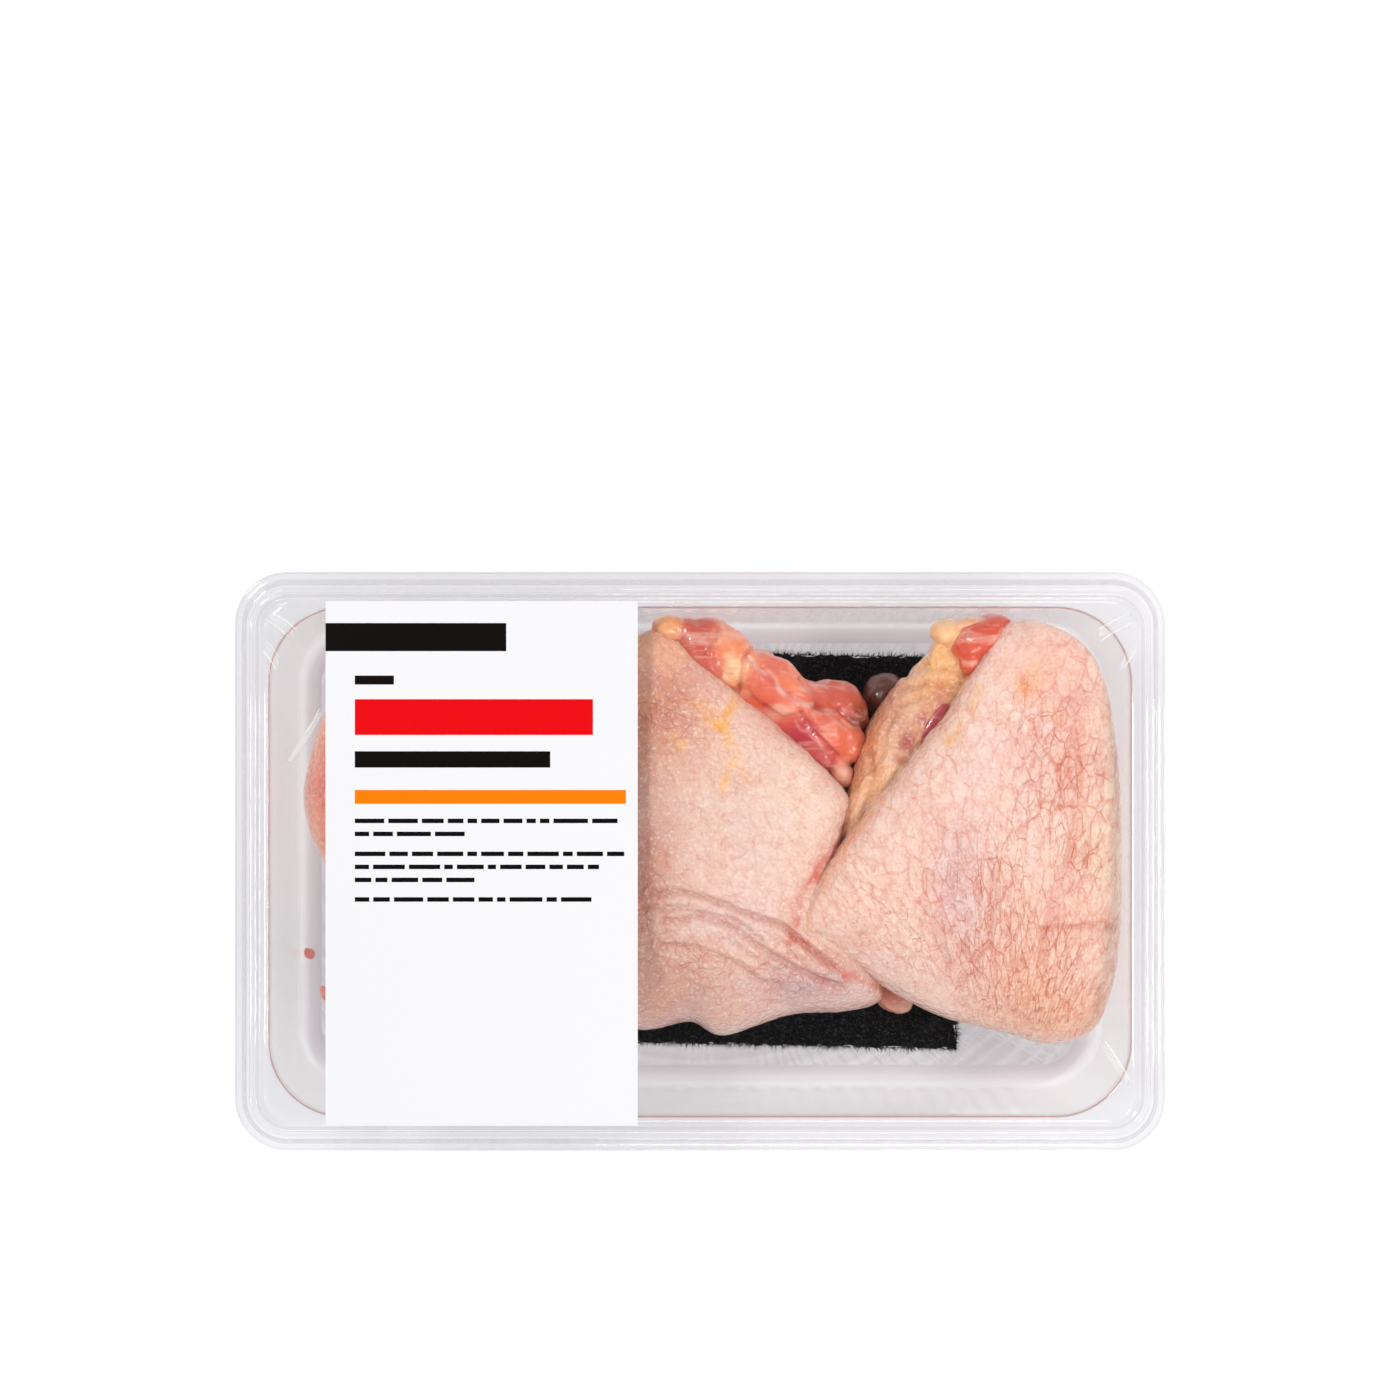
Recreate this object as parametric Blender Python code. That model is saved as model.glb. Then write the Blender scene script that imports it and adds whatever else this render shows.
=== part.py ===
# A sealed meat tray pack: a clear tray with a film lid, a paper label, an absorbent pad and
# three chicken thighs. The tray lies flat, +X along its length, +Z up, with the origin at the
# middle of its base.

import math

import bmesh
import bpy
import numpy as np
from mathutils import Matrix, Vector

MM = 0.001

# Driving dimensions
TRAY_LENGTH = 229.8 * MM
TRAY_WIDTH = 143.0 * MM
TRAY_HEIGHT = 50.0 * MM
RIM_WIDTH = 9.1 * MM
WALL = 0.6 * MM
WALL_DRAFT = math.radians(4)
FLOOR_FILLET = 5.0 * MM
MOUTH_RADIUS = 18.3 * MM
OUTER_RADIUS = 13.0 * MM
LEDGE_DROP = 1.5 * MM
LEDGE_WIDTH = 2.6 * MM
LEDGE_RADIUS = 7.3 * MM
MOUTH_CHAMFER = 0.5 * MM
STEP_RUN = 0.8 * MM
CREST_END = 5.6 * MM
CREST_RADIUS = 10.0 * MM
SKIRT_FOOT = 6.9 * MM
SKIRT_DROP = 5.0 * MM
SKIRT_RADIUS = 11.3 * MM
LIP_DROP = 5.6 * MM
TOUCH_GAP = 0.3 * MM

FILM_THICKNESS = 0.3 * MM
LABEL_LENGTH = 76.9 * MM
LABEL_WIDTH = 129.0 * MM
LABEL_CENTRE_X = -53.6 * MM
LABEL_THICKNESS = 0.2 * MM

PAD_LENGTH = 130.0 * MM
PAD_WIDTH = 100.4 * MM
PAD_THICKNESS = 2.5 * MM
PAD_CENTRE = (1.8 * MM, 1.6 * MM)
PAD_TURN = math.radians(-1.2)

SKIN = 2.0 * MM

MOUTH_HALF_X = TRAY_LENGTH / 2 - RIM_WIDTH
MOUTH_HALF_Y = TRAY_WIDTH / 2 - RIM_WIDTH
LEDGE_Z = TRAY_HEIGHT - LEDGE_DROP
FILM_Z = LEDGE_Z + TOUCH_GAP
LABEL_Z = FILM_Z + FILM_THICKNESS + TOUCH_GAP
PAD_Z = WALL + TOUCH_GAP
MEAT_Z = PAD_Z + PAD_THICKNESS + TOUCH_GAP

# Resolution of the faceted solids
CORNER_STEPS = 7
LOOP_STEPS = 40
UPPER_ANGLES = (20, 38, 55, 72)
LOWER_ANGLES = (-11, -22, -33, -48, -68)
ROUNDNESS = 2.6

# Outlines of the thighs seen from above, as (x, y, height of the rim) in millimetres. The rim
# is the widest line of the form: above it the form closes to its crown, below it to its base.
RIGHT_OUTLINE = (
    (77.3, 59.5, 38), (85.5, 58.9, 41), (94.2, 53.4, 41), (99.7, 44.3, 40), (102.6, 31.1, 38),
    (103.7, 15.0, 38), (104.0, -2.5, 37), (104.0, -17.5, 35), (102.7, -31.6, 30),
    (98.0, -43.1, 25), (88.7, -46.9, 22), (76.2, -44.2, 20), (62.5, -40.9, 17),
    (51.0, -35.6, 17), (38.1, -27.1, 22), (26.6, -19.5, 27), (24.9, -12.4, 28),
    (30.8, -1.8, 31), (43.2, 14.6, 33), (56.9, 31.8, 34), (66.2, 45.0, 36), (72.6, 55.7, 37),
)
RIGHT_CENTRE = (74.0, 5.0)
RIGHT_CROWN = 46.0
# How far round the side the skin reaches, in degrees below the rim: far on the side by the
# wall, and only a folded edge on the open side.
RIGHT_WRAP = (-33, -12)
RIGHT_OPEN_SIDE = math.radians(160)

MIDDLE_OUTLINE = (
    (-15.2, 56.2, 37), (-10.7, 57.4, 38), (-3.0, 52.7, 37), (8.7, 42.3, 35), (19.7, 33.6, 33),
    (31.5, 22.8, 31), (37.4, 15.7, 29), (36.3, 7.1, 25), (36.5, -5.8, 20), (43.0, -23.7, 16),
    (46.2, -35.7, 12), (36.8, -39.3, 12), (22.7, -40.3, 12), (6.1, -45.6, 10),
    (-2.8, -42.1, 12), (-15.6, -44.2, 12), (-35.9, -39.7, 14), (-49.7, -21.1, 18),
    (-53.4, 4.4, 20), (-45.6, 32.2, 24), (-30.3, 49.8, 30),
)
MIDDLE_CENTRE = (-5.0, 5.0)
MIDDLE_CROWN = 43.0
MIDDLE_WRAP = (-33, -12)
MIDDLE_OPEN_SIDE = math.radians(52)

# The bed of bare meat that comes out from under the middle thigh's skin.
MEAT_BED_OUTLINE = (
    (-7.7, 56.3, 33), (-2.0, 60.0, 34), (4.0, 60.0, 34), (7.7, 56.8, 33), (11.8, 53.1, 32),
    (17.3, 51.6, 31), (25.4, 45.8, 27), (33.6, 42.3, 22), (40.3, 36.2, 18), (41.3, 30.9, 18),
    (38.2, 22.6, 21), (28.5, 22.2, 24), (12.3, 34.5, 28), (-4.0, 47.8, 31),
)
MEAT_BED_CENTRE = (17.0, 42.0)
MEAT_BED_CROWN = 34.5

LEFT_OUTLINE = (
    (-100.4, 16.0, 18), (-98.6, 26.0, 18), (-94.9, 37.0, 18), (-88.0, 47.2, 19),
    (-77.0, 52.2, 20), (-65.9, 49.0, 22), (-58.6, 34.0, 22), (-58.0, 9.4, 20),
    (-63.2, -9.5, 18), (-76.5, -17.5, 16), (-88.0, -12.5, 16), (-94.9, -1.0, 17),
    (-98.8, 7.0, 18),
)
LEFT_CENTRE = (-79.0, 18.0)
LEFT_CROWN = 38.0

FLAP_OUTLINE = (
    (60.0, 57.3, 34), (56.9, 51.6, 30), (51.1, 45.6, 26), (45.7, 39.0, 22), (42.0, 32.7, 20),
    (39.5, 26.1, 20), (36.7, 17.0, 21), (33.1, 9.5, 23), (33.0, 2.0, 24), (44.0, 2.1, 26),
    (56.0, 16.2, 28), (65.9, 35.3, 30), (69.6, 49.8, 34), (66.1, 57.0, 35),
)
FLAP_CENTRE = (53.0, 33.0)
FLAP_CROWN = 37.5

# Lobes of bare meat as (x, y, z), (half length, half width, half height) in millimetres and
# the turn about +Z in degrees.
MIDDLE_LOBES = (
    ((-7.4, 57.5, 36.5), (4.6, 3.2, 4.4), -12),
    ((0.2, 52.2, 35.0), (9.4, 5.2, 7.0), -54),
    ((7.4, 51.2, 34.0), (10.5, 5.6, 7.0), -44),
    ((10.2, 47.2, 36.0), (4.6, 4.0, 4.6), -40),
    ((20.0, 42.4, 31.5), (13.5, 6.5, 7.5), -40),
    ((27.4, 34.2, 28.5), (13.5, 5.6, 7.0), -36),
    ((36.2, 30.0, 26.5), (6.6, 4.8, 6.0), -50),
    ((34.6, 38.0, 22.5), (8.6, 6.6, 7.5), -38),
    ((35.6, 21.2, 27.0), (3.4, 3.0, 3.4), -55),
)
RIGHT_LOBES = (
    ((70.2, 55.2, 35.5), (8.0, 4.6, 6.5), 25),
    ((58.0, 33.4, 30.0), (15.0, 4.5, 6.0), 52),
    ((49.4, -35.4, 9.0), (5.2, 4.4, 5.0), -30),
)
REAR_LOBE = ((46.6, 41.0, 12.0), (6.0, 5.0, 7.5), 50)
FLAP_LUMP = ((61.5, 56.8, 35.5), (4.8, 3.6, 4.6), 0)


def clear_scene():
    for item in list(bpy.data.objects):
        bpy.data.objects.remove(item, do_unlink=True)


def new_collection(name):
    collection = bpy.data.collections.new(name)
    bpy.context.scene.collection.children.link(collection)
    return collection


def new_material(name, colour, roughness, alpha=1.0):
    material = bpy.data.materials.new(name)
    material.use_nodes = True
    shader = material.node_tree.nodes["Principled BSDF"]
    shader.inputs["Base Color"].default_value = (*colour, 1.0)
    shader.inputs["Roughness"].default_value = roughness
    shader.inputs["Metallic"].default_value = 0.0
    shader.inputs["Alpha"].default_value = alpha
    return material


def place(mesh, name, collection, material):
    mesh.materials.clear()
    mesh.materials.append(material)
    item = bpy.data.objects.new(name, mesh)
    collection.objects.link(item)
    return item


# Points of a rounded rectangle, anticlockwise from the +X side.
def rounded_rectangle(half_x, half_y, radius):
    points = []
    for quarter in range(4):
        sign_x = 1 if quarter in (0, 3) else -1
        sign_y = 1 if quarter in (0, 1) else -1
        for step in range(CORNER_STEPS + 1):
            angle = math.radians(90 * (quarter + step / CORNER_STEPS))
            points.append((
                sign_x * (half_x - radius) + radius * math.cos(angle),
                sign_y * (half_y - radius) + radius * math.sin(angle),
            ))
    return points


# A flat piece: a filled 2D curve, extruded by half its thickness each way.
def plate(name, outline, bottom, thickness, collection, material):
    curve = bpy.data.curves.new(name, "CURVE")
    curve.dimensions = "2D"
    curve.fill_mode = "BOTH"
    curve.extrude = thickness / 2
    spline = curve.splines.new("POLY")
    spline.points.add(len(outline) - 1)
    for point, (x, y) in zip(spline.points, outline):
        point.co = (x, y, 0.0, 1.0)
    spline.use_cyclic_u = True
    curve.materials.append(material)
    item = bpy.data.objects.new(name, curve)
    item.location.z = bottom + thickness / 2
    collection.objects.link(item)
    return item


# Joins rings of equal length with faces, and closes each end with a fan.
def loft(rings):
    form = bmesh.new()
    rows = [[form.verts.new(point) for point in ring] for ring in rings]
    for lower, upper in zip(rows, rows[1:]):
        for here in range(len(lower)):
            after = (here + 1) % len(lower)
            form.faces.new((lower[here], lower[after], upper[after], upper[here]))
    for row in (rows[0], rows[-1]):
        middle = sum((vertex.co for vertex in row), Vector()) / len(row)
        hub = form.verts.new(middle)
        for here in range(len(row)):
            form.faces.new((row[here], row[(here + 1) % len(row)], hub))
    bmesh.ops.recalc_face_normals(form, faces=form.faces)
    mesh = bpy.data.meshes.new("form")
    form.to_mesh(mesh)
    form.free()
    return mesh


# The tray's upper face from the floor to the lip, as (outset from the mouth, height, corner
# radius of the ring at this outset).
def tray_profile():
    mouth_z = LEDGE_Z - MOUTH_CHAMFER
    wall_foot = -(mouth_z - WALL - FLOOR_FILLET) * math.tan(WALL_DRAFT)
    profile = []
    for angle in (90, 60, 30, 0):
        turn = math.radians(angle)
        outset = wall_foot - FLOOR_FILLET * (1 - math.cos(turn))
        height = WALL + FLOOR_FILLET * (1 - math.sin(turn))
        profile.append((outset, height, MOUTH_RADIUS + outset))
    half_step = STEP_RUN / 2
    profile += [
        (0.0, mouth_z, MOUTH_RADIUS),
        (MOUTH_CHAMFER, LEDGE_Z, MOUTH_RADIUS + MOUTH_CHAMFER),
        (LEDGE_WIDTH, LEDGE_Z, LEDGE_RADIUS),
        (LEDGE_WIDTH + half_step, TRAY_HEIGHT - half_step / 2, LEDGE_RADIUS + half_step),
        (LEDGE_WIDTH + STEP_RUN, TRAY_HEIGHT, LEDGE_RADIUS + STEP_RUN),
        (CREST_END, TRAY_HEIGHT, CREST_RADIUS),
        (CREST_END + half_step, TRAY_HEIGHT - half_step, CREST_RADIUS + half_step),
        (SKIRT_FOOT, TRAY_HEIGHT - SKIRT_DROP, SKIRT_RADIUS),
        (SKIRT_FOOT + half_step, TRAY_HEIGHT - SKIRT_DROP - half_step, SKIRT_RADIUS + half_step),
        (RIM_WIDTH, TRAY_HEIGHT - LIP_DROP, OUTER_RADIUS),
    ]
    return profile


# The same profile moved one wall thickness to its lower and outer side.
def under_profile(profile):
    under = []
    for index, (outset, height, radius) in enumerate(profile):
        before = profile[max(index - 1, 0)]
        after = profile[min(index + 1, len(profile) - 1)]
        incoming = Vector((outset - before[0], height - before[1]))
        outgoing = Vector((after[0] - outset, after[1] - height))
        if index == 0:
            incoming = Vector((1.0, 0.0))
        if index == len(profile) - 1:
            outgoing = incoming
        incoming.normalize()
        outgoing.normalize()
        side = Vector((incoming.y + outgoing.y, -incoming.x - outgoing.x)).normalized()
        share = max(side.dot(Vector((outgoing.y, -outgoing.x))), 0.5)
        shift = side * (WALL / share)
        under.append((outset + shift.x, height + shift.y, radius + shift.x))
    return under


def tray_ring(outset, height, radius):
    outline = rounded_rectangle(MOUTH_HALF_X + outset, MOUTH_HALF_Y + outset, radius)
    return [(x, y, height) for x, y in outline]


def make_tray(collection, material):
    upper = tray_profile()
    lower = under_profile(upper)
    rings = [tray_ring(*row) for row in upper + lower[::-1]]
    mesh = loft(rings)
    return place(mesh, "tray", collection, material)


def make_film(collection, material):
    outset = LEDGE_WIDTH - TOUCH_GAP
    outline = rounded_rectangle(MOUTH_HALF_X + outset, MOUTH_HALF_Y + outset, LEDGE_RADIUS - TOUCH_GAP)
    return plate("lid_film", outline, FILM_Z, FILM_THICKNESS, collection, material)


def make_label(collection, material):
    half_x = LABEL_LENGTH / 2
    half_y = LABEL_WIDTH / 2
    outline = [
        (LABEL_CENTRE_X + side_x * half_x, side_y * half_y)
        for side_x, side_y in ((1, -1), (1, 1), (-1, 1), (-1, -1))
    ]
    return plate("label", outline, LABEL_Z, LABEL_THICKNESS, collection, material)


def make_pad(collection, material):
    outline = rounded_rectangle(PAD_LENGTH / 2, PAD_WIDTH / 2, 3.0 * MM)
    item = plate("absorbent_pad", outline, PAD_Z, PAD_THICKNESS, collection, material)
    item.location.x = PAD_CENTRE[0]
    item.location.y = PAD_CENTRE[1]
    item.rotation_euler.z = PAD_TURN
    return item


# A closed Catmull-Rom curve through the outline's points, in metres.
def smooth_loop(outline):
    knots = np.array(outline, dtype=float) * MM
    count = len(knots)
    samples = []
    for step in range(LOOP_STEPS):
        place_on_loop = step * count / LOOP_STEPS
        index = int(place_on_loop)
        t = place_on_loop - index
        a, b, c, d = (knots[(index + shift) % count] for shift in (-1, 0, 1, 2))
        samples.append(0.5 * (
            2 * b + (c - a) * t + (2 * a - 5 * b + 4 * c - d) * t ** 2
            + (3 * b - a - 3 * c + d) * t ** 3
        ))
    return np.array(samples)


# One ring of a thigh. The angle runs from -90 at the middle of the underside, through 0 on the
# rim, to 90 at the crown, along a superellipse. The inset moves the ring inwards.
def thigh_ring(loop, centre, crown, angle, inset):
    turn = math.radians(abs(angle))
    reach = math.cos(turn) ** (2 / ROUNDNESS)
    rise = math.sin(turn) ** (2 / ROUNDNESS)
    pole = crown - inset if angle > 0 else MEAT_Z + inset
    middle = np.array(centre) * MM
    outward = loop[:, :2] - middle
    length = np.linalg.norm(outward, axis=1, keepdims=True)
    flat = middle + outward * (1 - inset / length) * reach
    height = loop[:, 2] + (pole - loop[:, 2]) * rise
    return [(x, y, z) for (x, y), z in zip(flat, height)]


# A thigh's whole form, from its underside to its crown.
def thigh_form(outline, centre, crown, inset=0.0):
    loop = smooth_loop(outline)
    angles = LOWER_ANGLES[::-1] + (0,) + UPPER_ANGLES
    rings = [thigh_ring(loop, centre, crown * MM, angle, inset) for angle in angles]
    return loft(rings)


# The dome that a thigh's skin is cut from: its form from the crown down to a line below the rim,
# which lies further down away from the open side.
def skin_dome(outline, centre, crown, wrap, open_side):
    loop = smooth_loop(outline)
    offset = loop[:, :2] - np.array(centre) * MM
    facing = np.cos(np.arctan2(offset[:, 1], offset[:, 0]) - open_side)
    far, near = wrap
    share = np.clip((facing + 0.2) / 0.8, 0.0, 1.0)
    ends = far + (near - far) * share
    rings = []
    for part in (1.0, 2 / 3, 1 / 3):
        at_each_end = [thigh_ring(loop, centre, crown * MM, end * part, 0.0) for end in ends]
        rings.append([ring[index] for index, ring in enumerate(at_each_end)])
    rings += [thigh_ring(loop, centre, crown * MM, angle, 0.0) for angle in (0,) + UPPER_ANGLES]
    return loft(rings)


# A lobe: a sphere drawn out to its three half axes, turned about +Z.
def lobe_mesh(lobe, grow=0.0):
    (x, y, z), halves, turn = lobe
    form = bmesh.new()
    bmesh.ops.create_uvsphere(form, u_segments=14, v_segments=9, radius=1.0)
    scale = Matrix.Diagonal([half * MM + grow for half in halves] + [1.0])
    spin = Matrix.Rotation(math.radians(turn), 4, "Z")
    move = Matrix.Translation(Vector((x, y, z)) * MM)
    form.transform(move @ spin @ scale)
    mesh = bpy.data.meshes.new("lobe")
    form.to_mesh(mesh)
    form.free()
    return mesh


# Applies one Boolean of the item with a set of meshes, then drops loose scraps.
def combine(item, meshes, operation):
    group = new_collection("cutters")
    cutters = [bpy.data.objects.new("cutter", mesh) for mesh in meshes]
    for cutter in cutters:
        group.objects.link(cutter)
    boolean = item.modifiers.new("combine", "BOOLEAN")
    boolean.operation = operation
    boolean.operand_type = "COLLECTION"
    boolean.collection = group
    boolean.solver = "EXACT"
    result = bpy.data.meshes.new_from_object(
        item.evaluated_get(bpy.context.evaluated_depsgraph_get())
    )
    item.modifiers.clear()
    item.data = result
    for cutter in cutters:
        bpy.data.objects.remove(cutter, do_unlink=True)
    bpy.data.collections.remove(group)
    keep_largest(item)


# Keeps the body with the most faces of a mesh that a cut has divided.
def keep_largest(item):
    form = bmesh.new()
    form.from_mesh(item.data)
    bmesh.ops.remove_doubles(form, verts=form.verts, dist=0.01 * MM)
    left = set(form.verts)
    bodies = []
    while left:
        seed = left.pop()
        body = {seed}
        stack = [seed]
        while stack:
            vertex = stack.pop()
            for edge in vertex.link_edges:
                other = edge.other_vert(vertex)
                if other in left:
                    left.remove(other)
                    body.add(other)
                    stack.append(other)
        bodies.append(body)
    bodies.sort(key=len)
    scraps = [vertex for body in bodies[:-1] for vertex in body]
    bmesh.ops.delete(form, geom=scraps, context="VERTS")
    form.to_mesh(item.data)
    form.free()


def lobes(group, grow=0.0):
    return [lobe_mesh(lobe, grow) for lobe in group]


# The bare meat beside the middle thigh's skin: its bed with the lobes on it.
def middle_bare_meat(grow=0.0):
    bed = thigh_form(MEAT_BED_OUTLINE, MEAT_BED_CENTRE, MEAT_BED_CROWN, inset=-grow)
    return [bed] + lobes(MIDDLE_LOBES, grow)


def make_middle_thigh(collection, skin_material, meat_material):
    form = (MIDDLE_OUTLINE, MIDDLE_CENTRE, MIDDLE_CROWN)
    core = thigh_form(*form, inset=SKIN + TOUCH_GAP)
    meat = place(core, "thigh_middle_meat", collection, meat_material)
    combine(meat, middle_bare_meat(), "UNION")
    mesh = skin_dome(*form, MIDDLE_WRAP, MIDDLE_OPEN_SIDE)
    skin = place(mesh, "thigh_middle_skin", collection, skin_material)
    under_skin = [thigh_form(*form, inset=SKIN)] + middle_bare_meat(TOUCH_GAP)
    combine(skin, under_skin, "DIFFERENCE")


# The middle thigh with a touching gap all round, to cut what lies against it.
def middle_thigh_space():
    form = thigh_form(MIDDLE_OUTLINE, MIDDLE_CENTRE, MIDDLE_CROWN, inset=-TOUCH_GAP)
    return [form] + middle_bare_meat(TOUCH_GAP)


def make_right_thigh(collection, skin_material, meat_material, flap_material):
    form = (RIGHT_OUTLINE, RIGHT_CENTRE, RIGHT_CROWN)
    core = thigh_form(*form, inset=SKIN + TOUCH_GAP)
    meat = place(core, "thigh_right_meat", collection, meat_material)
    combine(meat, lobes(RIGHT_LOBES), "UNION")
    combine(meat, middle_thigh_space(), "DIFFERENCE")
    mesh = skin_dome(*form, RIGHT_WRAP, RIGHT_OPEN_SIDE)
    skin = place(mesh, "thigh_right_skin", collection, skin_material)
    under_skin = [thigh_form(*form, inset=SKIN)] + lobes(RIGHT_LOBES, TOUCH_GAP)
    combine(skin, under_skin + middle_thigh_space(), "DIFFERENCE")
    flap_mesh = thigh_form(FLAP_OUTLINE, FLAP_CENTRE, FLAP_CROWN)
    flap = place(flap_mesh, "thigh_right_flap", collection, flap_material)
    combine(flap, lobes([FLAP_LUMP, REAR_LOBE]), "UNION")
    around = [thigh_form(*form, inset=-TOUCH_GAP)]
    around += lobes(RIGHT_LOBES, TOUCH_GAP) + middle_thigh_space()
    combine(flap, around, "DIFFERENCE")


def make_left_thigh(collection, material):
    mesh = thigh_form(LEFT_OUTLINE, LEFT_CENTRE, LEFT_CROWN)
    place(mesh, "thigh_left", collection, material)


def main():
    clear_scene()
    pack = new_collection("meat_tray_pack")
    clear_plastic = new_material("clear_plastic", (0.80, 0.81, 0.83), 0.15, 0.35)
    clear_film = new_material("clear_film", (0.90, 0.91, 0.92), 0.10, 0.20)
    paper = new_material("white_paper", (0.95, 0.95, 0.95), 0.55)
    black_felt = new_material("black_felt", (0.008, 0.008, 0.009), 0.95)
    skin = new_material("chicken_skin", (0.85, 0.56, 0.47), 0.40)
    meat = new_material("raw_meat", (0.80, 0.28, 0.22), 0.35)
    fat = new_material("yellow_fat", (0.82, 0.50, 0.27), 0.40)
    make_tray(pack, clear_plastic)
    make_film(pack, clear_film)
    make_label(pack, paper)
    make_pad(pack, black_felt)
    make_middle_thigh(pack, skin, meat)
    make_right_thigh(pack, skin, meat, fat)
    make_left_thigh(pack, skin)


main()
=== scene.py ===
import functools
import itertools
import math

import bpy
import numpy as np
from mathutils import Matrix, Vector


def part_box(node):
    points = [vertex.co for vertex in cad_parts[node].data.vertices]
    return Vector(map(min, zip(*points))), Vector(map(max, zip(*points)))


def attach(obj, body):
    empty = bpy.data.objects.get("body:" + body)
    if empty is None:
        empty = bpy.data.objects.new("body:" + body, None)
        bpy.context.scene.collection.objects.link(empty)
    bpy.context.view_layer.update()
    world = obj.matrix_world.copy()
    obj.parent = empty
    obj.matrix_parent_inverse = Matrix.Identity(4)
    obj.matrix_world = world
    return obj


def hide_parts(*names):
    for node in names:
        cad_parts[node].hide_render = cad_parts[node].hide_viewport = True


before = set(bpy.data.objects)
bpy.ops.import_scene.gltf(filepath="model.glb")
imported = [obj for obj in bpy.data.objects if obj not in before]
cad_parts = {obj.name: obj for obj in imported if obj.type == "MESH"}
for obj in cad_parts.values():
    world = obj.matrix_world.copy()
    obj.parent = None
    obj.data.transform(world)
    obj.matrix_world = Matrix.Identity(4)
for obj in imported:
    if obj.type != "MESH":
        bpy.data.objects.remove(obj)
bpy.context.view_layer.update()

mm = 0.001


# sRGB hex to linear red, green and blue: a straight line near black, a power of 2.4 above it
def fromHex(code):
    parts = np.array([int(code[index:index + 2], 16) for index in (1, 3, 5)]) / 255
    return np.where(parts <= 0.04045, parts / 12.92, ((parts + 0.055) / 1.055) ** 2.4)


# The same with full opacity, as shader sockets take it
def fullColour(code):
    return (*fromHex(code), 1.0)


# Value noise: random heights on a cubic lattice of this size, blended by a smooth step, -1 to 1
def latticeNoise(points, size, seed):
    table = np.random.default_rng(seed).uniform(-1.0, 1.0, 4096)
    scaled = points / size
    base = np.floor(scaled).astype(np.int64)
    part = scaled - base
    part = part * part * (3 - 2 * part)
    total = np.zeros(points.shape[:-1])
    for step in itertools.product((0, 1), repeat=3):
        cell = base + np.array(step)
        weight = np.prod(np.where(np.array(step) == 1, part, 1 - part), axis=-1)
        total += table[cellHash(cell)] * weight
    return total


# A whole number below 4096 for each lattice cell, from three primes
def cellHash(cell):
    mixed = cell[..., 0] * 73856093 ^ cell[..., 1] * 19349663 ^ cell[..., 2] * 83492791
    return mixed % 4096


# Cell noise: one jittered point in each lattice cell; gives how much nearer the nearest is than
# the second nearest, in cells, which is 0 along the borders between cells
def cellNoise(points, size, seed):
    jitter = np.random.default_rng(seed).uniform(0.0, 1.0, (4096, 3))
    scaled = points / size
    base = np.floor(scaled).astype(np.int64)
    nearest = np.full(points.shape[:-1], 9.0)
    second = nearest.copy()
    for step in itertools.product((-1, 0, 1), repeat=3):
        cell = base + np.array(step)
        distance = np.linalg.norm(scaled - cell - jitter[cellHash(cell)], axis=-1)
        second = np.minimum(second, np.maximum(nearest, distance))
        nearest = np.minimum(nearest, distance)
    return second - nearest


# Distance in plan from each point to a line through (x, y) stations in millimetres
def lineDistance(points, stations):
    knots = np.array(stations) * mm
    flat = points[..., :2]
    best = np.full(points.shape[:-1], 1.0)
    for start, end in zip(knots, knots[1:]):
        along = end - start
        share = np.clip(((flat - start) @ along) / (along @ along), 0, 1)
        gap = np.linalg.norm(flat - start - share[..., None] * along, axis=-1)
        best = np.minimum(best, gap)
    return best


# A mesh from arrays: points, then face arrays of three or four corners each
def meshFrom(name, points, faces):
    mesh = bpy.data.meshes.new(name)
    mesh.vertices.add(len(points))
    mesh.vertices.foreach_set("co", np.asarray(points, dtype=np.float32).ravel())
    corners = np.concatenate([part.ravel() for part in faces]).astype(np.int32)
    sizes = np.concatenate([np.full(len(part), part.shape[1]) for part in faces])
    starts = np.concatenate([[0], np.cumsum(sizes)[:-1]]).astype(np.int32)
    mesh.loops.add(len(corners))
    mesh.loops.foreach_set("vertex_index", corners)
    mesh.polygons.add(len(sizes))
    mesh.polygons.foreach_set("loop_start", starts)
    mesh.update(calc_edges=True)
    mesh.validate()
    mesh.shade_smooth()
    return mesh


# Quads between neighbouring rows of a grid whose columns run round and meet
def ringFaces(rows, columns, first=0):
    across = np.arange(columns)
    lower = first + np.arange(rows - 1)[:, None] * columns
    here = lower + across
    after = lower + (across + 1) % columns
    return np.stack([here, after, after + columns, here + columns], axis=-1).reshape(-1, 4)


# The points and faces of a grid of rings as one closed body: its first and last rings shrink to
# single points
def closedParts(grid):
    rows, columns = grid.shape[:2]
    bottom = grid[0].mean(axis=0)
    top = grid[-1].mean(axis=0)
    points = np.concatenate([[bottom], grid[1:-1].reshape(-1, 3), [top]])
    across = np.arange(columns)
    after = (across + 1) % columns
    last = 1 + (rows - 3) * columns
    lowFan = np.stack([np.zeros_like(across), 1 + after, 1 + across], axis=-1)
    highFan = np.stack([np.full_like(across, len(points) - 1), last + across, last + after], axis=-1)
    return points, [ringFaces(rows - 2, columns, 1), lowFan, highFan]


# A mesh of one such body
def closedForm(name, grid):
    return meshFrom(name, *closedParts(grid))


# Values for closedForm's points, from one value for each point of its grid
def onClosedForm(values):
    middle = values[1:-1].reshape(-1, *values.shape[2:])
    return np.concatenate([[values[0].mean(axis=0)], middle, [values[-1].mean(axis=0)]])


# Unit normals of a grid of rings, from the differences between neighbours
def gridNormals(grid):
    round_ = np.roll(grid, -1, axis=1) - np.roll(grid, 1, axis=1)
    up = np.gradient(grid, axis=0)
    normals = np.cross(round_, up)
    length = np.linalg.norm(normals, axis=-1, keepdims=True)
    return normals / np.maximum(length, 1e-12)


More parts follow.
